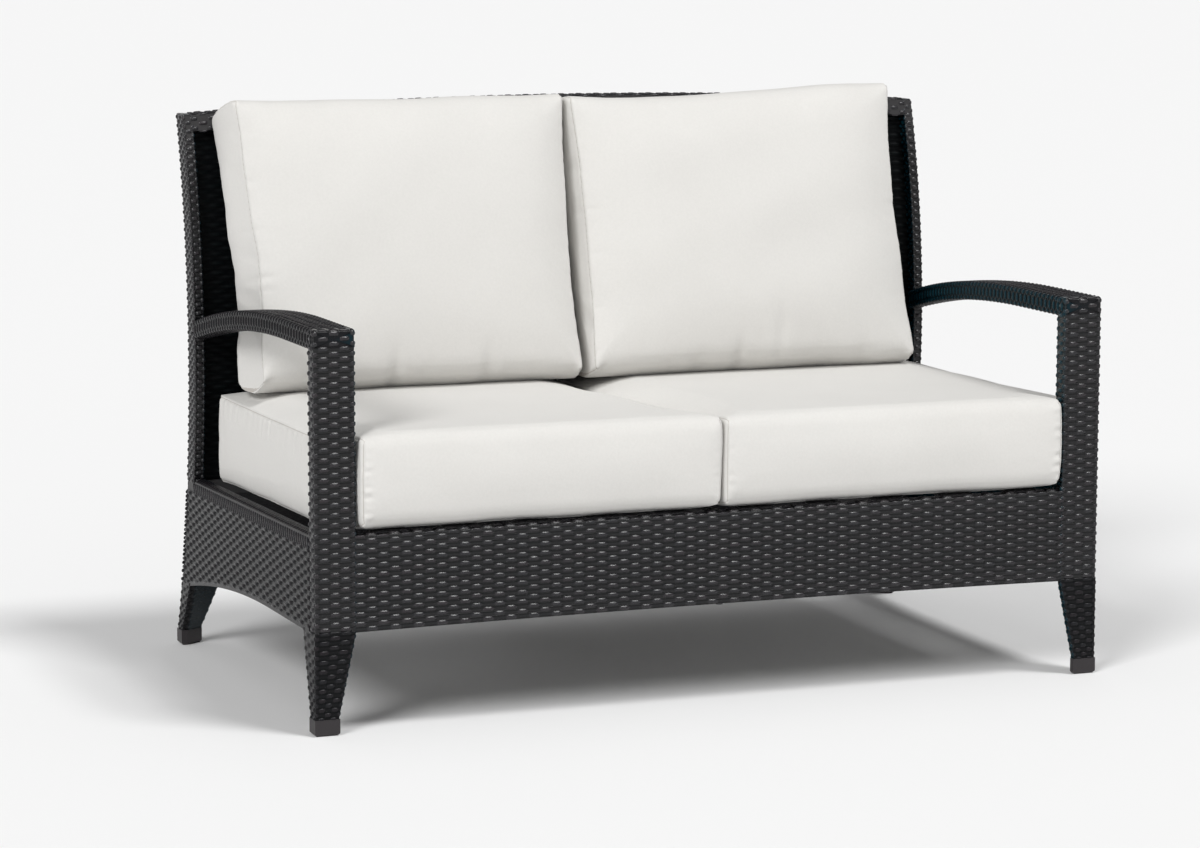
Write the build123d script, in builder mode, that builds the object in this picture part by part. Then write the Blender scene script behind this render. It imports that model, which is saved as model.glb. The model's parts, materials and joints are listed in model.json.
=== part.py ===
from build123d import *
from math import atan2, cos, degrees, radians, sin, sqrt
import os

# Patio loveseat: a welded aluminium frame under woven resin, webbing across the seat,
# two loose seat cushions and two loose back cushions.
# Millimetres. +X to the right, +Y to the back, +Z up, origin on the floor under the middle.

# Overall sizes
overall_width = 1400.0
frame_depth = 815.0        # woven face of the front posts to the heel of the rear feet
back_height = 963.0        # top of the back at the middle
back_crown = 20.0          # how much lower the back is at its ends
arm_height = 650.0
seat_height = 322.5        # woven top of the front apron, which carries the cushions
seat_fall = 15.0           # how much lower the seat frame is at the heel than at the front

# Woven skin and tube walls
weave = 3.0
tube_wall = 1.6
fit_gap = 0.2              # moulded plug inside its tube
rest_gap = 0.4             # between a loose cushion and what carries it

# Front posts and the side faces of the rear posts
post_width = 72.0
post_depth = 32.0
stile_width = 20.0
stile_depth = 44.0

# Curve of the back and the rear legs, seen from the side
back_radius = 1430.0
waist_height = 530.0

# Legs
foot_width = 42.0
foot_depth = 30.0
front_leg_depth = 66.0
rear_leg_depth = 54.0
leg_edge = 12.0
foot_height = 27.0
foot_chamfer = 4.0
plug_height = 12.0

# Aprons
apron_bottom = 167.0
apron_arch = 4.0
rear_apron_bottom = 117.0
side_level = 250.0         # stretch of the side apron's lower edge that is level
side_radius = 2475.0       # its curve down to the rear leg
lower_rail = 14.0

# Arms
arm_thickness = 33.0
arm_level = 165.0
arm_radius = 2300.0
arm_straight = 150.0       # stretch of the arm that keeps the post's width
arm_rear_width = 28.0

# Back
top_rail_height = 33.0
panel_recess = 22.0
upright_width = 19.0
upright_count = 3
upright_gap = 0.3              # uprights to the woven rear face

# Seat webbing, centre brace and its bolt
strap_width = 60.0
strap_thickness = 2.5
strap_lap = 12.0
strap_count = 5
brace_width = 26.0
support_width = 16.0
bolt_radius = 4.0
bolt_head_radius = 6.5
bolt_head_height = 5.0
bolt_grip = 8.0

# Seat cushions
seat_side_room = 35.0          # woven side of the frame to the cushion's outer side
seat_back_room = 33.6          # cushion's rear to the woven back panel
cushion_overhang = 12.0        # how far the seat cushions stand proud of the posts
boxing_front = 143.0           # webbing to the top edge of the sides
boxing_rear = 152.5
seat_front_lift = 13.0         # how much fuller the front edge is than the sides
seat_crown = 19.0
seat_draw = 5.0
seat_corner = 13.0
cushion_gap = 3.0
division_shift = 46.0          # the seam between the cushions lies this far off the middle, at the back
notch_gap = 7.0
notch_depth = 46.0
seat_core_margin = 26.0

# Back cushions
back_side_room = 57.0          # woven side of the frame to the left cushion's outer side
back_crest_drop = 35.38        # its upper rear edge below the middle of the back's top
back_crest_gap = 0.66          # the same edge in front of the top rail
back_cushion_thickness = 150.0
back_cushion_tilt = 16.2       # degrees
back_belly = 19.0              # how far its underside sags to the seat
back_cushion_rise = 0.15       # its rear lower edge above the highest point of the seat cushions
back_front_crown = 34.0
back_rear_crown = 6.0
back_top_crown = 5.0
back_corner = 12.0
back_core_margin = 30.0

overrun = 40.0

# Shares along and across a cushion
seat_station_shares = (0.0, 0.012, 0.034, 0.24, 0.46, 0.68, 0.966, 0.988, 1.0)
seat_inset_shares = (0.8, 0.2, 0.0, 0.0, 0.0, 0.0, 0.0, 0.2, 0.8)
seat_crown_shares = (0.1, 0.12, 0.16, 0.9, 1.0, 1.0, 0.78, 0.6, 0.3)
seat_lift_shares = (1.0, 1.0, 0.95, 0.1, 0.0, 0.0, 0.0, 0.0, 0.0)
division_shares = (0.0, 0.0, 0.0, 0.12, 0.5, 1.0, 1.0, 1.0, 1.0)
back_station_shares = (0.0, 0.014, 0.04, 0.27, 0.5, 0.73, 0.96, 0.986, 1.0)
back_inset_shares = (0.8, 0.2, 0.0, 0.0, 0.0, 0.0, 0.0, 0.2, 0.8)
back_crown_shares = (0.25, 0.3, 0.4, 0.88, 1.0, 0.88, 0.4, 0.3, 0.25)

# Derived places
half_width = overall_width / 2
front_y = (cushion_overhang - frame_depth) / 2
heel_y = front_y + frame_depth
post_back_y = front_y + post_depth
tube_front_y = front_y + weave
tube_back_y = post_back_y - weave
post_inner_x = half_width - post_width
tube_outer_x = half_width - weave
tube_inner_x = post_inner_x + weave
rail = post_depth - 2 * weave
rail_inner_x = tube_outer_x - rail
stile_inner_x = half_width - stile_width
stile_tube_x = stile_inner_x + weave
stile_tube_inset = stile_depth - weave
seat_pitch = seat_fall / frame_depth
back_centre_y = heel_y + sqrt(back_radius**2 - (foot_height - waist_height) ** 2)
side_arc_y = front_y + side_level
arm_arc_y = front_y + arm_level

sides = {"left": -1, "right": 1}

os.makedirs("parts", exist_ok=True)


def keep(part, label):
    """Name a finished piece and write it to its file."""
    part.label = label
    export_step(part, f"parts/{label}.step")
    print(f"{label}: {len(part.solids())} solids, {part.volume / 1000:.1f} cm3")


def back_y(z, inset):
    """Y of the curve that lies inset in front of the rear outline, at height z."""
    return back_centre_y - sqrt((back_radius + inset) ** 2 - (z - waist_height) ** 2)


def seat_z(y):
    """Height of the pitched seat plane at y."""
    return seat_height - (y - front_y) * seat_pitch


def crown_z(x):
    """Height of the back's crowned top at x."""
    return back_height - back_crown * (x / half_width) ** 2


def side_bottom(y, lift):
    """Height of the line that lies lift above the side apron's lower edge, at y."""
    if y <= side_arc_y:
        return apron_bottom + lift
    run = y - side_arc_y
    return apron_bottom - side_radius + sqrt((side_radius + lift) ** 2 - run**2)


def arm_z(y, drop):
    """Height of the line that lies drop below the arm's top, at y."""
    if y <= arm_arc_y:
        return arm_height - drop
    run = y - arm_arc_y
    return arm_height - arm_radius + sqrt((arm_radius - drop) ** 2 - run**2)


def draw_back_strip(deep, shallow, low, high):
    """Strip in the YZ plane that follows the back curve between two insets."""
    middle = (low + high) / 2
    rear = [(back_y(z, shallow), z) for z in (low, middle, high)]
    front = [(back_y(z, deep), z) for z in (high, middle, low)]
    ThreePointArc(*rear)
    Line(rear[-1], front[0])
    ThreePointArc(*front)
    Line(front[-1], rear[0])


def draw_seat_band(near, far, top_drop, bottom_drop):
    """Band in the YZ plane that runs parallel to the pitched seat plane."""
    Polyline(
        (near, seat_z(near) - top_drop),
        (far, seat_z(far) - top_drop),
        (far, seat_z(far) - bottom_drop),
        (near, seat_z(near) - bottom_drop),
        close=True,
    )


def draw_crown_band(reach, top_drop, bottom):
    """Area in the XZ plane under the crowned top; bottom gives the height of its lower edge at x."""
    top = [(x, crown_z(x) - top_drop) for x in (-reach, 0, reach)]
    low = [(x, bottom(x)) for x in (reach, 0, -reach)]
    ThreePointArc(*top)
    Line(top[-1], low[0])
    if low[1][1] == low[0][1]:
        Line(low[0], low[-1])
    else:
        ThreePointArc(*low)
    Line(low[-1], top[0])


def draw_arm_side(near, far, top_drop, bottom_drop):
    """Side view of the arm in the YZ plane, level at the front and curved down to the back."""
    middle = (arm_arc_y + far) / 2
    top = [(y, arm_z(y, top_drop)) for y in (arm_arc_y, middle, far)]
    low = [(y, arm_z(y, bottom_drop)) for y in (far, middle, arm_arc_y)]
    Line((near, arm_height - top_drop), top[0])
    ThreePointArc(*top)
    Line(top[-1], low[0])
    ThreePointArc(*low)
    Line(low[-1], (near, arm_height - bottom_drop))
    Line((near, arm_height - bottom_drop), (near, arm_height - top_drop))


def draw_arm_plan(side, near, far, inset):
    """Plan of the arm in the XY plane: post width at the front, narrow where it meets the back."""
    start = front_y + arm_straight
    taper = post_width - arm_rear_width
    reach = back_y(arm_height, stile_depth) - start
    radius = (reach**2 + taper**2) / (2 * taper)
    middle = (start + far) / 2
    inner = [
        (side * (post_inner_x + inset + radius - sqrt(radius**2 - (y - start) ** 2)), y)
        for y in (start, middle, far)
    ]
    outer_x = side * (half_width - inset)
    near_x = side * (post_inner_x + inset)
    Line((near_x, near), inner[0])
    ThreePointArc(*inner)
    Line(inner[-1], (outer_x, far))
    Line((outer_x, far), (outer_x, near))
    Line((outer_x, near), (near_x, near))


def leg_core(side, corner_y, way, width, depth):
    """Corners of a leg's core in plan: two outer faces, two narrow edges and a bare slant."""
    outer = half_width - weave
    inner = half_width - width + weave
    return [
        (side * outer, corner_y + way * weave),
        (side * outer, corner_y + way * (depth - weave)),
        (side * (half_width - leg_edge), corner_y + way * (depth - weave)),
        (side * inner, corner_y + way * leg_edge),
        (side * inner, corner_y + way * weave),
    ]


def leg_skin(side, corner_y, way, width, depth):
    """Corners of the woven skin round a leg's two outer faces and their narrow edges, in plan."""
    core = leg_core(side, corner_y, way, width, depth)
    inner = half_width - width
    return [
        (side * half_width, corner_y),
        (side * half_width, corner_y + way * depth),
        (side * (half_width - leg_edge), corner_y + way * depth),
        core[2],
        core[1],
        core[0],
        core[4],
        core[3],
        (side * inner, corner_y + way * leg_edge),
        (side * inner, corner_y),
    ]


def leg_stations(front):
    """Heights of a leg's sections with the corner's Y, the direction inwards, the width and depth."""
    top = apron_bottom if front else rear_apron_bottom
    depth_at_top = front_leg_depth if front else rear_leg_depth
    rows = []
    for share in (0, 0.5, 1):
        z = foot_height + (top - foot_height) * share
        width = foot_width + (post_width - foot_width) * share
        depth = foot_depth + (depth_at_top - foot_depth) * share
        corner = front_y if front else back_y(z, 0)
        rows.append((z, corner, 1 if front else -1, width, depth))
    return rows


# Rear posts, from the rear leg to the top rail
crown_end = crown_z(half_width)
stile_top = crown_end - top_rail_height / 2
rear_seat_y = back_y(seat_height, stile_depth)
rear_seat_z = seat_z(rear_seat_y)



def back_blank(reach, deep, shallow, low, top_drop, bottom):
    """Solid that follows the back curve between two insets, cut to the crowned top and to bottom."""
    with BuildPart() as blank:
        with BuildSketch(Plane.YZ.offset(-reach)):
            with BuildLine():
                draw_back_strip(deep, shallow, low, back_height + overrun)
            make_face()
        extrude(amount=2 * reach)
        with BuildSketch(Plane.XZ.offset(-heel_y - overrun)):
            with BuildLine():
                draw_crown_band(reach, top_drop, bottom)
            make_face()
        extrude(amount=frame_depth, mode=Mode.INTERSECT)
    return blank.part


def rail_blank(inset):
    """Solid of the top rail with every face moved inwards by inset."""
    return back_blank(
        half_width - inset,
        stile_depth - inset,
        max(inset, weave),
        crown_end - top_rail_height - overrun,
        inset,
        lambda x: crown_z(x) - top_rail_height + inset,
    )


top_rail_outside = rail_blank(0)
top_rail_inside = rail_blank(weave)

with BuildPart() as back_top_rail:
    add(top_rail_inside)
    add(rail_blank(weave + tube_wall), mode=Mode.SUBTRACT)
keep(back_top_rail.part, "back_top_rail")

rear_fills = {}
for name, side in sides.items():
    with BuildPart() as rear_fill:
        with BuildSketch(Plane.YZ.offset(side * stile_tube_x)):
            with BuildLine():
                draw_back_strip(stile_tube_inset, weave, rear_apron_bottom, stile_top)
            make_face()
        extrude(amount=side * (tube_outer_x - stile_tube_x))
    rear_fills[name] = rear_fill.part
    with BuildPart() as rear_post:
        add(rear_fills[name])
        with BuildSketch(Plane.YZ.offset(side * (stile_tube_x + tube_wall))):
            with BuildLine():
                draw_back_strip(
                    stile_tube_inset - tube_wall, weave + tube_wall, rear_apron_bottom, stile_top
                )
            make_face()
        extrude(amount=side * (tube_outer_x - stile_tube_x - 2 * tube_wall), mode=Mode.SUBTRACT)
        add(top_rail_inside, mode=Mode.SUBTRACT)
    keep(rear_post.part, f"rear_post_{name}")

with BuildPart() as top_rail_weave:
    add(top_rail_outside)
    add(top_rail_inside, mode=Mode.SUBTRACT)
    for fill in rear_fills.values():
        add(fill, mode=Mode.SUBTRACT)
keep(top_rail_weave.part, "top_rail_weave")

# Front posts, welded on top of the front legs
post_top = arm_height - weave
front_posts = {}
for name, side in sides.items():
    middle_x = side * (tube_inner_x + tube_outer_x) / 2
    middle_y = (tube_front_y + tube_back_y) / 2
    with BuildPart() as front_post:
        with BuildSketch(Plane.XY.offset(apron_bottom)):
            with Locations((middle_x, middle_y)):
                Rectangle(tube_outer_x - tube_inner_x, rail)
                Rectangle(
                    tube_outer_x - tube_inner_x - 2 * tube_wall,
                    rail - 2 * tube_wall,
                    mode=Mode.SUBTRACT,
                )
        extrude(amount=post_top - apron_bottom)
    front_posts[name] = front_post.part
    keep(front_post.part, f"front_post_{name}")

# Legs: tapered hollow cores under the posts, their woven skins and moulded feet
leg_cores = {}
leg_skins = {}
for place in ("front", "rear"):
    for name, side in sides.items():
        stations = leg_stations(place == "front")
        with BuildPart() as core:
            for z, corner, way, width, depth in stations:
                with BuildSketch(Plane.XY.offset(z)):
                    with BuildLine():
                        Polyline(*leg_core(side, corner, way, width, depth), close=True)
                    make_face()
            loft(ruled=True)
            for z, corner, way, width, depth in stations:
                with BuildSketch(Plane.XY.offset(z)):
                    with BuildLine():
                        Polyline(*leg_core(side, corner, way, width, depth), close=True)
                    make_face()
                    offset(amount=-tube_wall, kind=Kind.INTERSECTION, mode=Mode.REPLACE)
            loft(ruled=True, mode=Mode.SUBTRACT)
        leg_cores[place, name] = core.part
        keep(core.part, f"{place}_leg_core_{name}")

        with BuildPart() as skin:
            for z, corner, way, width, depth in stations:
                with BuildSketch(Plane.XY.offset(z)):
                    with BuildLine():
                        Polyline(*leg_skin(side, corner, way, width, depth), close=True)
                    make_face()
            loft(ruled=True)
        leg_skins[place, name] = skin.part

        z, corner, way, width, depth = stations[0]
        z_up, corner_up, way_up, width_up, depth_up = stations[-1]
        share = plug_height / (z_up - z)
        plug_rows = [
            (z, corner, width, depth),
            (
                z + plug_height,
                corner if place == "front" else back_y(z + plug_height, 0),
                width + (width_up - width) * share,
                depth + (depth_up - depth) * share,
            ),
        ]
        heel_y_here = corner
        with BuildPart() as foot:
            with BuildSketch():
                with BuildLine():
                    Polyline(
                        (side * half_width, heel_y_here),
                        (side * half_width, heel_y_here + way * depth),
                        (side * (half_width - leg_edge), heel_y_here + way * depth),
                        (side * (half_width - width), heel_y_here + way * leg_edge),
                        (side * (half_width - width), heel_y_here),
                        close=True,
                    )
                make_face()
            extrude(amount=foot_height)
            chamfer(foot.edges().group_by(Axis.Z)[0], foot_chamfer)
            for plug_z, plug_corner, plug_width, plug_depth in plug_rows:
                with BuildSketch(Plane.XY.offset(plug_z)):
                    with BuildLine():
                        Polyline(*leg_core(side, plug_corner, way, plug_width, plug_depth), close=True)
                    make_face()
                    offset(amount=-tube_wall - fit_gap, kind=Kind.INTERSECTION, mode=Mode.REPLACE)
            loft(ruled=True)
        keep(foot.part, f"foot_{place}_{name}")

# Seat frame: four upper rails, four lower rails, centre brace with its support and bolt
with BuildPart() as seat_rail_front:
    with BuildSketch(Plane.YZ.offset(-tube_inner_x)):
        with BuildLine():
            draw_seat_band(tube_front_y, tube_back_y, weave, weave + rail)
        make_face()
    extrude(amount=2 * tube_inner_x)
    with BuildSketch(Plane.YZ.offset(-tube_inner_x)):
        with BuildLine():
            draw_seat_band(
                tube_front_y + tube_wall,
                tube_back_y - tube_wall,
                weave + tube_wall,
                weave + rail - tube_wall,
            )
        make_face()
    extrude(amount=2 * tube_inner_x, mode=Mode.SUBTRACT)
keep(seat_rail_front.part, "seat_rail_front")

rear_rail_top = seat_z(back_y(rear_seat_z, weave)) - weave
with BuildPart() as seat_rail_rear:
    with BuildSketch(Plane.YZ.offset(-stile_tube_x)):
        with BuildLine():
            draw_back_strip(weave + rail, weave, rear_rail_top - rail, rear_rail_top)
        make_face()
    extrude(amount=2 * stile_tube_x)
    with BuildSketch(Plane.YZ.offset(-stile_tube_x)):
        with BuildLine():
            draw_back_strip(
                weave + rail - tube_wall,
                weave + tube_wall,
                rear_rail_top - rail + tube_wall,
                rear_rail_top - tube_wall,
            )
        make_face()
    extrude(amount=2 * stile_tube_x, mode=Mode.SUBTRACT)
keep(seat_rail_rear.part, "seat_rail_rear")

side_rails = {}
for name, side in sides.items():
    with BuildPart() as side_rail:
        with BuildSketch(Plane.YZ.offset(side * rail_inner_x)):
            with BuildLine():
                draw_seat_band(tube_back_y, rear_seat_y + overrun / 4, weave, weave + rail)
            make_face()
        extrude(amount=side * rail)
        with BuildSketch(Plane.YZ.offset(side * (rail_inner_x + tube_wall))):
            with BuildLine():
                draw_seat_band(
                    tube_back_y,
                    rear_seat_y + overrun / 4,
                    weave + tube_wall,
                    weave + rail - tube_wall,
                )
            make_face()
        extrude(amount=side * (rail - 2 * tube_wall), mode=Mode.SUBTRACT)
        with BuildSketch(Plane.YZ.offset(side * (rail_inner_x - overrun))):
            with BuildLine():
                draw_back_strip(stile_tube_inset, 0, apron_bottom, waist_height)
            make_face()
        extrude(amount=side * (rail + 2 * overrun), mode=Mode.SUBTRACT)
    side_rails[name] = side_rail.part
    keep(side_rail.part, f"seat_rail_{name}")


def arch_z(x, reach, base, lift):
    """Height of the line that lies lift above an apron's arched lower edge, at x."""
    return base + lift + apron_arch * (1 - (x / reach) ** 2)


lower_rails = {}
with BuildPart() as lower_rail_front:
    with BuildSketch(Plane.XZ.offset(-tube_front_y)):
        with BuildLine():
            low = [(x, arch_z(x, post_inner_x, apron_bottom, weave)) for x in (-tube_inner_x, 0, tube_inner_x)]
            high = [(x, z + lower_rail) for x, z in reversed(low)]
            ThreePointArc(*low)
            Line(low[-1], high[0])
            ThreePointArc(*high)
            Line(high[-1], low[0])
        make_face()
    extrude(amount=-lower_rail)
    with Locations((0, tube_front_y + lower_rail / 2, apron_bottom + overrun)):
        Hole(bolt_radius)
lower_rails["front"] = lower_rail_front.part

with BuildPart() as lower_rail_rear:
    with BuildSketch(Plane.YZ.offset(-stile_tube_x)):
        with BuildLine():
            draw_back_strip(
                weave + lower_rail,
                weave,
                rear_apron_bottom + weave,
                rear_apron_bottom + weave + apron_arch + lower_rail,
            )
        make_face()
    extrude(amount=2 * stile_tube_x)
    with BuildSketch(Plane.XZ.offset(-heel_y - overrun)):
        with BuildLine():
            reach_x = (-stile_tube_x, 0, stile_tube_x)
            low = [(x, arch_z(x, half_width, rear_apron_bottom, weave)) for x in reach_x]
            high = [(x, z + lower_rail) for x, z in reversed(low)]
            ThreePointArc(*low)
            Line(low[-1], high[0])
            ThreePointArc(*high)
            Line(high[-1], low[0])
        make_face()
    extrude(amount=frame_depth, mode=Mode.INTERSECT)
lower_rails["rear"] = lower_rail_rear.part

for name, side in sides.items():
    end_y = back_y(apron_bottom, stile_tube_inset) + overrun
    with BuildPart() as lower_rail_side:
        with BuildSketch(Plane.YZ.offset(side * (tube_outer_x - lower_rail))):
            with BuildLine():
                middle_y = (side_arc_y + end_y) / 2
                low = [(y, side_bottom(y, weave)) for y in (side_arc_y, middle_y, end_y)]
                high = [(y, side_bottom(y, weave + lower_rail)) for y in (end_y, middle_y, side_arc_y)]
                Line((tube_back_y, apron_bottom + weave), low[0])
                ThreePointArc(*low)
                Line(low[-1], high[0])
                ThreePointArc(*high)
                Line(high[-1], (tube_back_y, apron_bottom + weave + lower_rail))
                Line((tube_back_y, apron_bottom + weave + lower_rail), (tube_back_y, apron_bottom + weave))
            make_face()
        extrude(amount=side * lower_rail)
        with BuildSketch(Plane.YZ.offset(side * (tube_outer_x - lower_rail - overrun))):
            with BuildLine():
                draw_back_strip(stile_tube_inset, -overrun, foot_height, waist_height)
            make_face()
        extrude(amount=side * (lower_rail + 2 * overrun), mode=Mode.SUBTRACT)
    lower_rails[name] = lower_rail_side.part

for name, part in lower_rails.items():
    keep(part, f"lower_rail_{name}")

brace_end_y = back_y(rear_rail_top, weave)
with BuildPart() as seat_brace:
    with BuildSketch(Plane.YZ.offset(-brace_width / 2)):
        with BuildLine():
            draw_seat_band(tube_back_y, brace_end_y, weave, weave + rail)
        make_face()
    extrude(amount=brace_width)
    with BuildSketch(Plane.YZ.offset(tube_wall - brace_width / 2)):
        with BuildLine():
            draw_seat_band(tube_back_y, brace_end_y, weave + tube_wall, weave + rail - tube_wall)
        make_face()
    extrude(amount=brace_width - 2 * tube_wall, mode=Mode.SUBTRACT)
    with BuildSketch(Plane.YZ.offset(-brace_width)):
        with BuildLine():
            draw_back_strip(weave + rail, -overrun, apron_bottom, waist_height)
        make_face()
    extrude(amount=2 * brace_width, mode=Mode.SUBTRACT)
keep(seat_brace.part, "seat_brace")

support_top = seat_z(tube_back_y) - weave - rail
support_low = arch_z(0, post_inner_x, apron_bottom, weave + lower_rail)
support_y = tube_front_y + lower_rail / 2
with BuildPart() as brace_support:
    with BuildSketch(Plane.XY.offset(support_low)):
        with Locations((0, support_y)):
            Rectangle(support_width, lower_rail)
    extrude(amount=support_top - support_low)
    with Locations((0, support_y, support_low)):
        Hole(bolt_radius, depth=bolt_grip)
keep(brace_support.part, "brace_support")

bolt_seat = arch_z(0, post_inner_x, apron_bottom, 0)
with BuildPart() as brace_bolt:
    with BuildSketch(Plane.XY.offset(bolt_seat - bolt_head_height)):
        with Locations((0, support_y)):
            Circle(bolt_head_radius)
    extrude(amount=bolt_head_height)
    fillet(brace_bolt.edges().group_by(Axis.Z)[0], bolt_head_height / 3)
    with BuildSketch(Plane.XY.offset(bolt_seat)):
        with Locations((0, support_y)):
            Circle(bolt_radius - fit_gap)
    extrude(amount=support_low - bolt_seat + bolt_grip / 2)
keep(brace_bolt.part, "brace_bolt")

# Arms between the front posts and the rear posts
arm_end_y = back_y(arm_height, stile_tube_inset) + overrun


def arm_blank(side, near, inset, cut):
    """Solid of an arm from near to the rear post, every long face moved inwards by inset."""
    with BuildPart() as blank:
        with BuildSketch(Plane.YZ.offset(side * post_inner_x)):
            with BuildLine():
                draw_arm_side(near, arm_end_y, inset, arm_thickness - inset)
            make_face()
        extrude(amount=side * post_width)
        with BuildSketch(Plane.XY.offset(apron_bottom)):
            with BuildLine():
                draw_arm_plan(side, near, arm_end_y, inset)
            make_face()
        extrude(amount=back_height, mode=Mode.INTERSECT)
        with BuildSketch(Plane.YZ.offset(side * (post_inner_x - overrun))):
            with BuildLine():
                draw_back_strip(cut, -2 * overrun, apron_bottom, back_height)
            make_face()
        extrude(amount=side * (post_width + 2 * overrun), mode=Mode.SUBTRACT)
    return blank.part


arm_fills = {}
for name, side in sides.items():
    arm_fills[name] = arm_blank(side, tube_back_y, weave, stile_tube_inset)
    with BuildPart() as arm_tube:
        add(arm_fills[name])
        add(arm_blank(side, tube_back_y, weave + tube_wall, stile_tube_inset), mode=Mode.SUBTRACT)
    keep(arm_tube.part, f"arm_tube_{name}")

    with BuildPart() as arm_skin:
        add(arm_blank(side, post_back_y, 0, stile_depth))
        add(arm_fills[name], mode=Mode.SUBTRACT)
    keep(arm_skin.part, f"arm_weave_{name}")

# Seat webbing over the front and rear rails, five straps under each cushion
strap_front_y = tube_back_y - strap_lap
strap_back_y = back_y(rear_rail_top, weave + rail) + strap_lap
bay = post_inner_x - brace_width / 2
strap_pitch = bay / strap_count
webbing = {}
for name, side in sides.items():
    with BuildPart() as straps:
        for count in range(strap_count):
            strap_x = brace_width / 2 + strap_pitch * (count + 0.5) - strap_width / 2
            with BuildSketch(Plane.YZ.offset(side * strap_x)):
                with BuildLine():
                    draw_seat_band(strap_front_y, strap_back_y, weave - strap_thickness, weave)
                make_face()
            extrude(amount=side * strap_width)
    webbing[name] = straps.part
    keep(straps.part, f"seat_webbing_{name}")

# Woven skins of the aprons and rails
with BuildPart() as front_apron:
    with BuildSketch(Plane.XZ.offset(-front_y)):
        with BuildLine():
            low = [(x, arch_z(x, post_inner_x, apron_bottom, 0)) for x in (-post_inner_x, 0, post_inner_x)]
            ThreePointArc(*low)
            Polyline(
                low[-1], (post_inner_x, seat_height), (-post_inner_x, seat_height), low[0]
            )
        make_face()
    extrude(amount=-weave)
keep(front_apron.part, "front_apron_weave")

with BuildPart() as front_rail_skin:
    with BuildSketch(Plane.YZ.offset(-post_inner_x)):
        with BuildLine():
            draw_seat_band(tube_front_y, post_back_y, 0, rail + 2 * weave)
        make_face()
    extrude(amount=2 * post_inner_x)
    with BuildSketch(Plane.YZ.offset(-post_inner_x)):
        with BuildLine():
            draw_seat_band(tube_front_y, tube_back_y, weave, weave + rail)
        make_face()
    extrude(amount=2 * post_inner_x, mode=Mode.SUBTRACT)
    with BuildSketch(Plane.YZ.offset(-brace_width / 2)):
        with BuildLine():
            draw_seat_band(tube_back_y - weave, post_back_y + weave, weave, weave + rail)
        make_face()
    extrude(amount=brace_width, mode=Mode.SUBTRACT)
    with BuildSketch(Plane.XY.offset(support_low)):
        with Locations((0, support_y)):
            Rectangle(support_width, lower_rail)
    extrude(amount=support_top + rail / 2 - support_low, mode=Mode.SUBTRACT)
    for part in webbing.values():
        add(part, mode=Mode.SUBTRACT)
keep(front_rail_skin.part, "front_rail_weave")

for name, side in sides.items():
    rear_corner_y = back_y(rear_seat_z, weave)
    low_z = rear_apron_bottom
    for turn in range(6):
        low_z = side_bottom(back_y(low_z, weave), 0)
    low_y = back_y(low_z, weave)
    top_z = seat_z(rear_corner_y)
    middle_z = (low_z + top_z) / 2
    middle_y = (side_arc_y + low_y) / 2
    with BuildPart() as side_apron:
        with BuildSketch(Plane.YZ.offset(side * tube_outer_x)):
            with BuildLine():
                Polyline(
                    (side_arc_y, apron_bottom),
                    (post_back_y, apron_bottom),
                    (post_back_y, seat_z(post_back_y)),
                    (back_y(top_z, weave), top_z),
                )
                ThreePointArc(
                    (back_y(top_z, weave), top_z),
                    (back_y(middle_z, weave), middle_z),
                    (low_y, low_z),
                )
                ThreePointArc(
                    (low_y, low_z),
                    (middle_y, side_bottom(middle_y, 0)),
                    (side_arc_y, apron_bottom),
                )
            make_face()
        extrude(amount=side * weave)
    keep(side_apron.part, f"side_apron_weave_{name}")

    with BuildPart() as side_rail_skin:
        with BuildSketch(Plane.YZ.offset(side * (rail_inner_x - weave))):
            with BuildLine():
                draw_seat_band(post_back_y, rear_seat_y + overrun, 0, rail + 2 * weave)
            make_face()
        extrude(amount=side * (rail + weave))
        with BuildSketch(Plane.YZ.offset(side * rail_inner_x)):
            with BuildLine():
                draw_seat_band(post_back_y, rear_seat_y + overrun, weave, weave + rail)
            make_face()
        extrude(amount=side * rail, mode=Mode.SUBTRACT)
        with BuildSketch(Plane.YZ.offset(side * (rail_inner_x - overrun))):
            with BuildLine():
                draw_back_strip(stile_depth, -overrun, apron_bottom, waist_height)
            make_face()
        extrude(amount=side * (rail + 2 * overrun), mode=Mode.SUBTRACT)
    keep(side_rail_skin.part, f"side_rail_weave_{name}")

    with BuildPart() as rear_leg_skin:
        add(leg_skins["rear", name])
        add(side_apron.part, mode=Mode.SUBTRACT)
    keep(rear_leg_skin.part, f"rear_leg_weave_{name}")
    keep(leg_skins["front", name], f"front_leg_weave_{name}")

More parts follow.
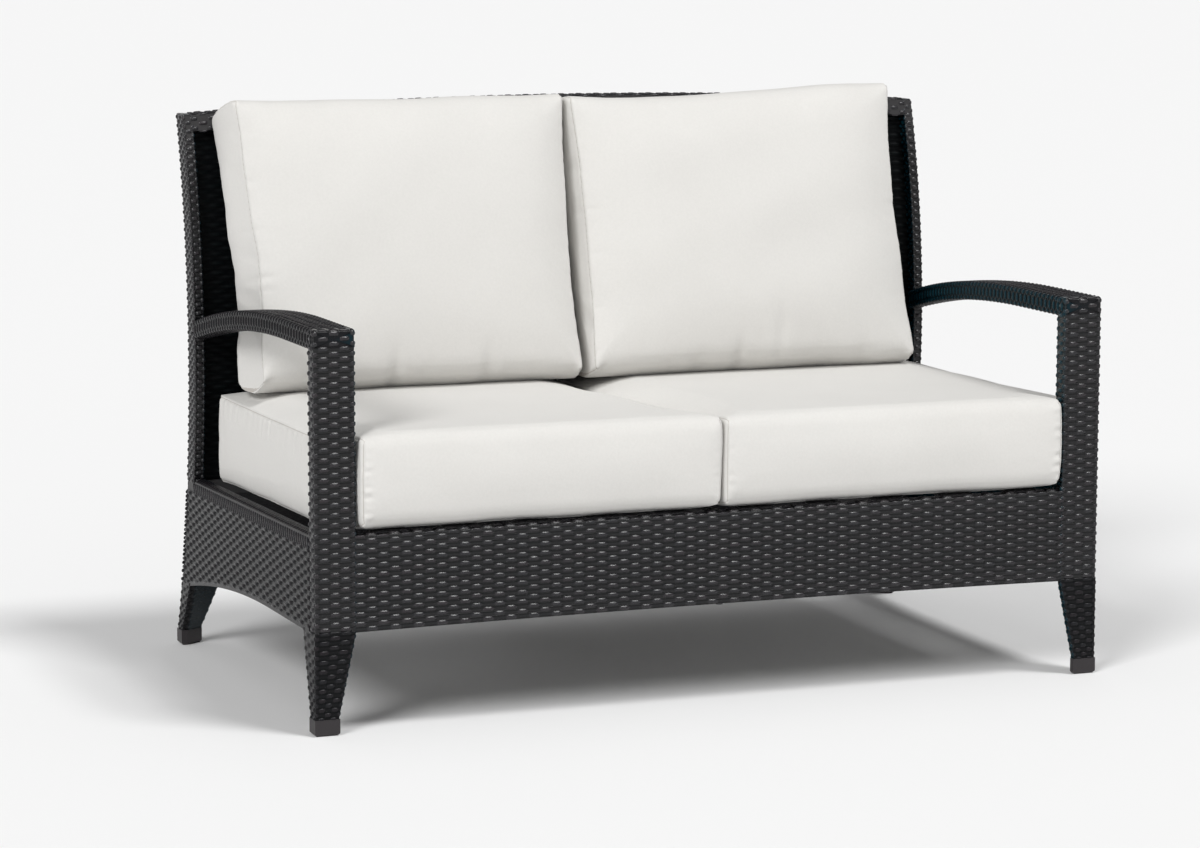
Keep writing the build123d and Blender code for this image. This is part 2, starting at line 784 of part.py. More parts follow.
# Woven skins of the posts, open where rails and arms pass through to the tubes
for name, side in sides.items():
    middle_x = side * (post_inner_x + half_width) / 2
    with BuildPart() as post_skin:
        with BuildSketch(Plane.XY.offset(apron_bottom)):
            with Locations((middle_x, (front_y + post_back_y) / 2)):
                Rectangle(post_width, post_depth)
        extrude(amount=arm_height - apron_bottom)
        with BuildSketch(Plane.XY.offset(apron_bottom)):
            with Locations((middle_x, (front_y + post_back_y) / 2)):
                Rectangle(post_width - 2 * weave, rail)
        extrude(amount=post_top - apron_bottom, mode=Mode.SUBTRACT)
        with BuildSketch(Plane.YZ.offset(side * (post_inner_x - weave))):
            with BuildLine():
                draw_seat_band(tube_front_y, tube_back_y, weave, weave + rail)
            make_face()
        extrude(amount=side * 2 * weave, mode=Mode.SUBTRACT)
        with BuildSketch(Plane.YZ.offset(side * rail_inner_x)):
            with BuildLine():
                draw_seat_band(tube_back_y - weave, post_back_y + weave, weave, weave + rail)
            make_face()
        extrude(amount=side * rail, mode=Mode.SUBTRACT)
        for part in (lower_rails["front"], lower_rails[name], arm_fills[name]):
            add(part, mode=Mode.SUBTRACT)
    keep(post_skin.part, f"front_post_weave_{name}")

    with BuildPart() as stile_skin:
        with BuildSketch(Plane.YZ.offset(side * stile_inner_x)):
            with BuildLine():
                draw_back_strip(stile_depth, weave, rear_seat_z, stile_top)
            make_face()
        extrude(amount=side * stile_width)
        with BuildSketch(Plane.YZ.offset(side * stile_tube_x)):
            with BuildLine():
                draw_back_strip(stile_tube_inset, 0, rear_seat_z, stile_top)
            make_face()
        extrude(amount=side * (tube_outer_x - stile_tube_x), mode=Mode.SUBTRACT)
        add(top_rail_outside, mode=Mode.SUBTRACT)
        add(arm_fills[name], mode=Mode.SUBTRACT)
    keep(stile_skin.part, f"rear_post_weave_{name}")

# Back: woven rear face, uprights, and a woven panel set back between the rear posts
with BuildPart() as rear_weave:
    add(
        back_blank(
            half_width,
            weave,
            0,
            foot_height,
            0,
            lambda x: arch_z(x, half_width, rear_apron_bottom, 0),
        )
    )
keep(rear_weave.part, "rear_weave")

with BuildPart() as back_panel:
    add(
        back_blank(
            stile_inner_x,
            panel_recess + weave,
            panel_recess,
            rear_rail_top,
            top_rail_height,
            lambda x: foot_height,
        )
    )
    for part in webbing.values():
        add(part, mode=Mode.SUBTRACT)
keep(back_panel.part, "back_panel_weave")

upright_inset = weave + upright_gap
upright_pitch = 2 * stile_inner_x / (upright_count + 1)
upright_places = ("left", "middle", "right")
for count, place in enumerate(upright_places):
    upright_x = upright_pitch * (count + 1) - stile_inner_x
    upright_top = crown_z(abs(upright_x) + upright_width / 2) - top_rail_height
    with BuildPart() as upright:
        with BuildSketch(Plane.YZ.offset(upright_x - upright_width / 2)):
            with BuildLine():
                draw_back_strip(panel_recess, upright_inset, rear_rail_top, upright_top)
            make_face()
        extrude(amount=upright_width)
        with BuildSketch(Plane.YZ.offset(upright_x - upright_width / 2 + tube_wall)):
            with BuildLine():
                draw_back_strip(
                    panel_recess - tube_wall, upright_inset + tube_wall, rear_rail_top, upright_top
                )
            make_face()
        extrude(amount=upright_width - 2 * tube_wall, mode=Mode.SUBTRACT)
        for part in webbing.values():
            add(part, mode=Mode.SUBTRACT)
    keep(upright.part, f"back_upright_{place}")

# Seat cushions: boxed, crowned on top, notched round the front posts, on a foam core
seat_front = front_y - cushion_overhang
seat_cushion_reach = half_width - seat_side_room
seat_cushion_depth = back_y(waist_height, panel_recess + weave) - seat_back_room - seat_front
post_notch_x = post_inner_x - notch_gap
seat_tops = []
for name, side in sides.items():
    with BuildPart() as cushion:
        rows = zip(
            seat_station_shares,
            seat_inset_shares,
            seat_crown_shares,
            seat_lift_shares,
            division_shares,
        )
        for along, inset_share, crown_share, lift_share, shift_share in rows:
            y = seat_front + seat_cushion_depth * along
            inset = seat_corner * inset_share
            crown = seat_crown * crown_share
            division = -division_shift * shift_share
            inner = division + side * (cushion_gap / 2 + inset)
            outer = side * (seat_cushion_reach - inset)
            boxing = boxing_front + (boxing_rear - boxing_front) * along
            low = seat_z(y) + rest_gap + inset
            high = low + boxing + seat_front_lift * lift_share - 2 * inset
            middle_x = (inner + outer) / 2
            middle_z = (low + high) / 2
            draw = side * seat_draw
            with BuildSketch(Plane.XZ.offset(-y)) as section:
                with BuildLine():
                    Line((inner, low), (outer, low))
                    ThreePointArc((outer, low), (outer - draw, middle_z), (outer, high))
                    ThreePointArc((outer, high), (middle_x, high + crown), (inner, high))
                    ThreePointArc((inner, high), (inner + draw, middle_z), (inner, low))
                make_face()
                fillet(section.vertices(), seat_corner)
        loft(ruled=True)
        with BuildSketch(Plane.XY.offset(apron_bottom)):
            with Locations((side * (post_notch_x + post_width), seat_front)):
                Rectangle(2 * post_width, 2 * (cushion_overhang + notch_depth))
        extrude(amount=back_height, mode=Mode.SUBTRACT)
    seat_tops.append(cushion.part.bounding_box().max.Z)

    core_near = post_back_y + seat_core_margin
    core_far = seat_front + seat_cushion_depth - seat_core_margin
    core_inner = side * (cushion_gap / 2 + seat_core_margin) + min(side, 0) * division_shift
    core_outer = side * (post_notch_x - seat_core_margin)
    core_bottom = seat_core_margin + seat_corner
    core_top = boxing_front - seat_core_margin
    with BuildPart() as core:
        with BuildSketch(Plane.YZ.offset(core_inner)):
            with BuildLine():
                draw_seat_band(core_near, core_far, -core_top, -core_bottom)
            make_face()
        extrude(amount=core_outer - core_inner)
    keep(core.part, f"seat_core_{name}")

    with BuildPart() as cover:
        add(cushion.part)
        add(core.part, mode=Mode.SUBTRACT)
    keep(cover.part, f"seat_cushion_{name}")

# Back cushions: boxed, full at the front, leaning on the top rail and standing on the seat
tilt = radians(back_cushion_tilt)
lean = (sin(tilt), cos(tilt))
fore = (-cos(tilt), sin(tilt))
back_foot_z = max(seat_tops) + back_cushion_rise
back_crest_z = back_height - back_crest_drop
back_crest_y = back_y(back_crest_z, stile_depth) - back_crest_gap
back_cushion_height = (back_crest_z - back_foot_z) / cos(tilt)
back_cushion_width = half_width - back_side_room - division_shift - cushion_gap
back_foot = (back_crest_y - lean[0] * back_cushion_height, back_foot_z)


def lean_point(up, out):
    """Point in the YZ plane, up along the back cushion's lean and out towards its front."""
    return (
        back_foot[0] + lean[0] * up + fore[0] * out,
        back_foot[1] + lean[1] * up + fore[1] * out,
    )


back_starts = {
    "left": -division_shift - cushion_gap - back_cushion_width,
    "right": cushion_gap - division_shift,
}
for name, start_x in back_starts.items():
    with BuildPart() as cushion:
        rows = zip(back_station_shares, back_inset_shares, back_crown_shares)
        for along, inset_share, crown_share in rows:
            x = start_x + back_cushion_width * along
            inset = back_corner * inset_share
            tall = back_cushion_height
            thick = back_cushion_thickness
            heel = lean_point(inset, inset)
            crest = lean_point(tall - inset, inset)
            brow = lean_point(tall - inset, thick - inset)
            toe = lean_point(inset, thick - inset)
            rear_mid = lean_point(tall / 2, inset - back_rear_crown * crown_share)
            top_mid = lean_point(tall - inset + back_top_crown * crown_share, thick / 2)
            front_mid = lean_point(tall / 2, thick - inset + back_front_crown * crown_share)
            belly = lean_point(inset - back_belly, thick / 2)
            with BuildSketch(Plane.YZ.offset(x)) as section:
                with BuildLine():
                    ThreePointArc(heel, rear_mid, crest)
                    ThreePointArc(crest, top_mid, brow)
                    ThreePointArc(brow, front_mid, toe)
                    ThreePointArc(toe, belly, heel)
                make_face()
                fillet(section.vertices(), back_corner)
        loft(ruled=True)

    with BuildPart() as core:
        margin = back_core_margin
        with BuildSketch(Plane.YZ.offset(start_x + margin)):
            with BuildLine():
                Polyline(
                    lean_point(margin, margin),
                    lean_point(back_cushion_height - margin, margin),
                    lean_point(back_cushion_height - margin, back_cushion_thickness - margin),
                    lean_point(margin, back_cushion_thickness - margin),
                    close=True,
                )
            make_face()
        extrude(amount=back_cushion_width - 2 * margin)
    keep(core.part, f"back_core_{name}")

    with BuildPart() as cover:
        add(cushion.part)
        add(core.part, mode=Mode.SUBTRACT)
    keep(cover.part, f"back_cushion_{name}")
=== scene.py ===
"""Patio loveseat: woven resin over a tube frame, with loose boxed cushions in pale cloth."""

import json
import logging
import math
from collections.abc import Callable
from dataclasses import dataclass
from enum import Enum

import bpy
import numpy as np
from mathutils import Matrix, Vector

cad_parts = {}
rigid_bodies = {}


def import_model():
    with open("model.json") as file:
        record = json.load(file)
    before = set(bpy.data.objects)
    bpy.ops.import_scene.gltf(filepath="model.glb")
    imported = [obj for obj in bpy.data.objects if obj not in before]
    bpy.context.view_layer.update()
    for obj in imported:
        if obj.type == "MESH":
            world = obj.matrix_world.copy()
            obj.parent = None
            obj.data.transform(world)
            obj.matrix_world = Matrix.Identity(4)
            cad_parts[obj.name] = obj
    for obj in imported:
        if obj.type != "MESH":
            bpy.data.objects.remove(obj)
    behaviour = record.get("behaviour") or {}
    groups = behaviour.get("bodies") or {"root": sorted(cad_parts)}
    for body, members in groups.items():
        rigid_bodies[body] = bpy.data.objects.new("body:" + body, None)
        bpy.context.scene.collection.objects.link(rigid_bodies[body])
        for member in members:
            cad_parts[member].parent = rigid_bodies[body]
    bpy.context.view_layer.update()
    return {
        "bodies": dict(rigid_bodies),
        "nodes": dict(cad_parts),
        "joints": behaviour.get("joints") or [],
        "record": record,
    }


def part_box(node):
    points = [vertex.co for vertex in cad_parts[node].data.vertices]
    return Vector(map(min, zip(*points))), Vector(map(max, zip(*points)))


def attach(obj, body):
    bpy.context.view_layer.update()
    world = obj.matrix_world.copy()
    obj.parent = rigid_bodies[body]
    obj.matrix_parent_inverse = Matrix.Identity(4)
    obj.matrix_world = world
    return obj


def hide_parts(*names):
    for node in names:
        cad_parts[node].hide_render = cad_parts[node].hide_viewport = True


LOG = logging.getLogger("loveseat")
MM = 0.001
SIDES = {"left": -1.0, "right": 1.0}
Map = Callable[[np.ndarray], np.ndarray]
Field = Callable[[np.ndarray, np.ndarray], np.ndarray]
Piece = bpy.types.Object
Socket = bpy.types.NodeSocket
Material = bpy.types.Material
Colour = tuple[float, float, float]


# ---- choices ----


class Path(Enum):
    """Axis along which a section is carried, with the two axes of the section after it."""

    X = (0, 1, 2)
    Y = (1, 0, 2)
    Z = (2, 0, 1)


class Lay(Enum):
    """Which way the strands of a woven piece run."""

    ROUND = "round the section"
    ALONG = "along the path"


class Finish(Enum):
    """Which wicker a woven piece takes, by its name in the wardrobe; the two besides the plain one are darker
    copies that carry painted shade.
    """

    PLAIN = "wicker"
    # Less glossy and darker: the darker colour is painted shade.
    DULL = "dull"
    # Near-black: painted shade for the recessed panel.
    SHADED = "shaded"


# ---- sizes of the frame ----


@dataclass(frozen=True)
class Layout:
    """Main sizes of the frame in millimetres. Depths count from the front face of the posts."""

    half_width: float = 700.0
    front_y: float = -401.5
    depth: float = 815.0
    back_height: float = 963.0
    back_crown: float = 20.0
    arm_height: float = 650.0
    seat_height: float = 322.5
    seat_fall: float = 15.0
    post_width: float = 72.0
    post_depth: float = 32.0
    stile_width: float = 20.0
    stile_depth: float = 44.0
    back_radius: float = 1430.0
    waist: float = 530.0
    foot_height: float = 27.0
    apron_bottom: float = 167.0
    apron_arch: float = 4.0
    rear_bottom: float = 117.0
    side_level: float = 250.0
    side_radius: float = 2475.0
    arm_thickness: float = 33.0
    arm_level: float = 165.0
    arm_radius: float = 2300.0
    arm_straight: float = 150.0
    arm_rear_width: float = 28.0
    top_rail: float = 33.0
    recess: float = 22.0
    skin: float = 3.0

    def rear_y(self, z: np.ndarray, inset: float = 0.0) -> np.ndarray:
        """Y of the arc that lies inset in front of the back's rear outline, at height z.

        Args:
            z: Heights.
            inset: How far in front of the rear outline the arc lies.

        Returns:
            The depths.
        """
        heel = self.front_y + self.depth
        centre = heel + math.sqrt(self.back_radius**2 - (self.foot_height - self.waist) ** 2)
        return centre - np.sqrt((self.back_radius + inset) ** 2 - (z - self.waist) ** 2)

    def seat_z(self, y: np.ndarray) -> np.ndarray:
        """Height of the pitched seat plane at y."""
        return self.seat_height - (y - self.front_y) * self.seat_fall / self.depth

    def crown_z(self, x: np.ndarray) -> np.ndarray:
        """Height of the back's crowned top at x."""
        return self.back_height - self.back_crown * (x / self.half_width) ** 2

    def side_bottom(self, y: np.ndarray) -> np.ndarray:
        """Height of the side apron's lower edge at y: level, then an arc that drops to the rear."""
        run = np.maximum(y - self.front_y - self.side_level, 0.0)
        return self.apron_bottom - self.side_radius + np.sqrt(self.side_radius**2 - run**2)

    def arm_z(self, y: np.ndarray) -> np.ndarray:
        """Height of the arm's top at y: level, then an arc that drops to the back."""
        run = np.maximum(y - self.front_y - self.arm_level, 0.0)
        return self.arm_height - self.arm_radius + np.sqrt(self.arm_radius**2 - run**2)

    def arm_inner(self, y: np.ndarray) -> np.ndarray:
        """Distance of the arm's inner edge from the middle at y: straight, then an arc outwards.

        Args:
            y: Depths.

        Returns:
            Distances from the middle.
        """
        start = self.front_y + self.arm_straight
        taper = self.post_width - self.arm_rear_width
        reach = float(self.rear_y(np.array(self.arm_height), self.stile_depth)) - start
        radius = (reach**2 + taper**2) / (2 * taper)
        run = np.clip(y - start, 0.0, reach * 1.02)
        return self.half_width - self.post_width + radius - np.sqrt(radius**2 - run**2)


FRAME = Layout()


# ---- mesh building ----


def signed_volume(points: np.ndarray, triangles: np.ndarray) -> float:
    """Volume inside a closed set of triangles, positive where they face outwards.

    Args:
        points: Corner positions, one row each.
        triangles: Three corner numbers a row.

    Returns:
        The sum of the signed tetrahedra from the origin.
    """
    a, b, c = (points[triangles[:, k]] for k in range(3))
    return float(np.einsum("ij,ij->i", a, np.cross(b, c)).sum() / 6)


def placed(name: str, data: bpy.types.ID) -> Piece:
    """New object in the scene.

    Args:
        name: Its name.
        data: Its mesh, light or camera.

    Returns:
        The object.
    """
    piece = bpy.data.objects.new(name, data)
    bpy.context.scene.collection.objects.link(piece)
    return piece


def shell(
    name: str, grid: np.ndarray, uv: np.ndarray, marks: dict[str, np.ndarray], fans: bool = True
) -> Piece:
    """Closed mesh from a grid that wraps round in its second direction and has a lid at each end.

    Args:
        name: Name of the piece.
        grid: Points in metres, stations by samples by three.
        uv: Surface coordinates in metres, stations by samples plus one by two.
        marks: Point attributes, each stations by samples.
        fans: Lids are fans round a middle point; otherwise each is one flat face, for bent sheets.

    Returns:
        The new object, at the origin, smooth shaded, with its faces outwards.
    """
    rows, cols = grid.shape[:2]
    ends = np.stack([grid[0].mean(0), grid[-1].mean(0)])
    points = np.concatenate([grid.reshape(-1, 3), ends])
    i, j = np.meshgrid(np.arange(rows - 1), np.arange(cols), indexing="ij")
    i, j = i.ravel(), j.ravel()
    k = (j + 1) % cols
    quads = np.stack([i * cols + j, i * cols + k, (i + 1) * cols + k, (i + 1) * cols + j], 1)
    wide = cols + 1
    quad_uv = np.stack([i * wide + j, i * wide + j + 1, (i + 1) * wide + j + 1, (i + 1) * wide + j], 1)
    around = np.arange(cols)
    after = (around + 1) % cols
    first = np.stack([np.full(cols, rows * cols), after, around], 1)
    base = (rows - 1) * cols
    last = np.stack([np.full(cols, rows * cols + 1), base + around, base + after], 1)
    caps = np.concatenate([first, last])
    cap_uv = np.concatenate(
        [
            np.stack([around, around + 1, around], 1),
            (rows - 1) * wide + np.stack([around, around, around + 1], 1),
        ]
    )
    triangles = np.concatenate([quads[:, [0, 1, 2]], quads[:, [0, 2, 3]], caps])
    outwards = signed_volume(points, triangles) > 0
    if not fans:
        points = points[:-2]
        caps = np.stack([around[::-1], base + around])
        cap_uv = np.stack([around[::-1], (rows - 1) * wide + around])
    if not outwards:
        quads, quad_uv = quads[:, ::-1], quad_uv[:, ::-1]
        caps, cap_uv = caps[:, ::-1], cap_uv[:, ::-1]
    loops = np.concatenate([quads.ravel(), caps.ravel()])
    lids = quads.size + np.arange(len(caps)) * caps.shape[1]
    starts = np.concatenate([np.arange(len(quads)) * 4, lids])
    mesh = bpy.data.meshes.new(name)
    mesh.vertices.add(len(points))
    mesh.vertices.foreach_set("co", points.astype(np.float32).ravel())
    mesh.loops.add(len(loops))
    mesh.loops.foreach_set("vertex_index", loops.astype(np.int32))
    mesh.polygons.add(len(starts))
    mesh.polygons.foreach_set("loop_start", starts.astype(np.int32))
    mesh.update(calc_edges=True)
    layer = mesh.uv_layers.new(name="surface")
    places = uv.reshape(-1, 2)[np.concatenate([quad_uv.ravel(), cap_uv.ravel()])]
    layer.data.foreach_set("uv", places.astype(np.float32).ravel())
    for label, values in marks.items():
        ending = [float(values[0].mean()), float(values[-1].mean())] if fans else []
        attribute = mesh.attributes.new(label, "FLOAT", "POINT")
        attribute.data.foreach_set("value", np.append(values.ravel(), ending).astype(np.float32))
    mesh.validate()
    mesh.shade_smooth()
    return placed(name, mesh)


def normals_of(outer: np.ndarray) -> np.ndarray:
    """Way out of each edge of an anticlockwise outline; the edge after each corner.

    Args:
        outer: Corners in anticlockwise order, in any shape that ends in corners by two.

    Returns:
        Unit vectors, one for each edge.
    """
    edges = np.roll(outer, -1, -2) - outer
    out = np.stack([edges[..., 1], -edges[..., 0]], -1)
    return out / np.linalg.norm(out, axis=-1, keepdims=True)


@dataclass(frozen=True)
class Ring:
    """Samples round a closed outline: the corner before each, the share of the way on, the way out."""

    corner: np.ndarray
    share: np.ndarray
    normal: np.ndarray
    place: np.ndarray

    @staticmethod
    def marks(outer: np.ndarray, radii: np.ndarray) -> np.ndarray:
        """Distances round an outline at the start of each edge and of each corner's arc, and the whole.

        Args:
            outer: Corners in anticlockwise order, one row each.
            radii: Rounding radius of each corner.

        Returns:
            Distances, two for each corner and one more.
        """
        inner = Ring.inset(outer[None], radii)[0]
        lengths = np.linalg.norm(np.roll(inner, -1, 0) - inner, axis=1)
        turns = np.abs(Ring.turns(outer))
        spans = np.stack([lengths, turns * np.roll(radii, -1)], 1).ravel()
        return np.concatenate([[0.0], np.cumsum(spans)])

    @staticmethod
    def turns(outer: np.ndarray) -> np.ndarray:
        """Turn at the end of each edge, positive to the left.

        Args:
            outer: Corners in anticlockwise order, one row each.

        Returns:
            Angles in radians.
        """
        out = normals_of(outer)
        headings = np.arctan2(out[:, 1], out[:, 0])
        return np.mod(np.roll(headings, -1) - headings + math.pi, 2 * math.pi) - math.pi

    @staticmethod
    def inset(outer: np.ndarray, radii: np.ndarray) -> np.ndarray:
        """Centres of the corners' arcs.

        A centre lies on the corner's bisector, the radius away from both edges.

        Args:
            outer: Corners, stations by corners by two.
            radii: Rounding radius of each corner.

        Returns:
            Centres, stations by corners by two.
        """
        out = normals_of(outer)
        before = np.roll(out, 1, -2)
        away = (out + before) / (1 + (out * before).sum(-1, keepdims=True))
        return outer - radii[..., None] * away

    @classmethod
    def sample(cls, outer: np.ndarray, radii: np.ndarray, places: np.ndarray) -> "Ring":
        """Samples at given distances round an outline, counted from its first edge.

        A point is an arc's centre, or lies between two of them, and is moved out by the radius.

        Args:
            outer: Corners in anticlockwise order, one row each.
            radii: Rounding radius of each corner.
            places: Distances round the outline.

        Returns:
            The samples.
        """
        marks = cls.marks(outer, radii)
        out = normals_of(outer)
        where = np.mod(places, marks[-1])
        part = np.clip(np.searchsorted(marks, where, side="right") - 1, 0, len(marks) - 2)
        within = (where - marks[part]) / np.maximum(marks[part + 1] - marks[part], 1e-9)
        edge, turning = part // 2, part % 2 == 1
        swing = np.where(turning, within * cls.turns(outer)[edge], 0.0)
        angle = np.arctan2(out[edge, 1], out[edge, 0]) + swing
        return cls(
            corner=np.where(turning, (edge + 1) % len(outer), edge),
            share=np.where(turning, 0.0, within),
            normal=np.stack([np.cos(angle), np.sin(angle)], 1),
            place=places,
        )

    def points(self, outer: np.ndarray, radii: np.ndarray, shrink: np.ndarray) -> np.ndarray:
        """Places of the samples in each station's section plane.

        Args:
            outer: Corners, stations by corners by two.
            radii: Rounding radius of each corner.
            shrink: Share of the radii that each station keeps.

        Returns:
            Points, stations by samples by two.
        """
        centres = self.inset(outer, radii)
        after = (self.corner + 1) % outer.shape[1]
        inside = centres[:, self.corner] * (1 - self.share)[None, :, None]
        inside = inside + centres[:, after] * self.share[None, :, None]
        reach = radii[self.corner] * (1 - self.share) + radii[after] * self.share
        return inside + (shrink[:, None] * reach[None])[..., None] * self.normal[None]


def box(low: tuple[float, float], high: tuple[float, float]) -> np.ndarray:
    """Corners of an upright box in the section plane, anticlockwise from the lower left.

    Args:
        low: One corner.
        high: The corner across from it.

    Returns:
        Four corners, one row each.
    """
    (p0, q0), (p1, q1) = low, high
    p0, p1 = min(p0, p1), max(p0, p1)
    return np.array([(p0, q0), (p1, q0), (p1, q1), (p0, q1)], float)


# ---- the weave ----


def glide(value: np.ndarray) -> np.ndarray:
    """Smooth step from 0 to 1."""
    share = np.clip(value, 0.0, 1.0)
    return share**2 * (3.0 - 2.0 * share)


@dataclass(frozen=True)
class Weave:
    """Plain weave of half-round strands over upright stakes, in millimetres."""

    stake: float = 19.6
    row: float = 8.0
    relief: float = 3.9
    proud: float = 0.7
    stake_steps: tuple[float, ...] = (0.0, 0.22, 0.36, 0.5, 0.64, 0.78)
    row_steps: tuple[float, ...] = (0.0, 0.16, 0.39, 0.61, 0.84)
    over_under: bool = True
    parity: int = 0
    half_low: float = 0.4
    half_gain: float = 0.1
    half_plain: float = 0.47
    dip: float = 0.22
    ramp_gain: float = 1.5
    ramp_level: float = 0.3

    def height(self, along: np.ndarray, across: np.ndarray) -> np.ndarray:
        """Height of the weave as a share of its relief.

        Strand k is centred on row k plus a half. It rises over every second stake as a pill: a
        cosine along it, cut to a plateau with smooth ends, and it is fuller there. Across, it is
        half an ellipse. The height is the highest of the three nearest strands.

        Args:
            along: Place along the strands, in stakes.
            across: Place across the strands, in rows.

        Returns:
            Shares from 0 in the gaps to 1 on top of a strand.
        """
        row = np.floor(across)
        best = np.zeros(np.broadcast(along, across).shape)
        for step in (-1.0, 0.0, 1.0):
            strand = row + step
            offset = across - strand - 0.5
            if not self.over_under:
                best = np.maximum(best, np.sqrt(np.clip(1.0 - (offset / self.half_plain) ** 2, 0.0, 1.0)))
                continue
            wave = np.cos(np.pi * (along + strand + self.parity)) - self.ramp_level
            lift = glide(0.5 + self.ramp_gain * wave)
            half = self.half_low + self.half_gain * lift
            body = np.sqrt(np.clip(1.0 - (offset / half) ** 2, 0.0, 1.0))
            best = np.maximum(best, body * (self.dip + (1.0 - self.dip) * lift))
        return best

    @staticmethod
    def tone(along: np.ndarray, across: np.ndarray) -> np.ndarray:
        """Colour drift from 0 to 1: slow along a strand, different from strand to strand."""
        strand = np.floor(across)
        return 0.5 + 0.5 * np.sin(2.4 * strand + 0.45 * along + 1.7 * np.sin(0.9 * strand))


def lattice(start: float, stop: float, cell: float, zero: float, shares: tuple[float, ...]) -> np.ndarray:
    """Sample places from start to stop, at the same shares of every cell counted from zero.

    Args:
        start: First place.
        stop: Last place.
        cell: Length of a cell.
        zero: Where a cell starts.
        shares: Shares of a cell.

    Returns:
        Places from start to stop, both with them.
    """
    first, last = math.floor((start - zero) / cell), math.ceil((stop - zero) / cell)
    cells = np.arange(first, last)[:, None] + np.array(shares)[None]
    places = zero + cell * cells.ravel()
    inside = places[(places > start + 0.08 * cell) & (places < stop - 0.08 * cell)]
    return np.concatenate([[start], inside, [stop]])


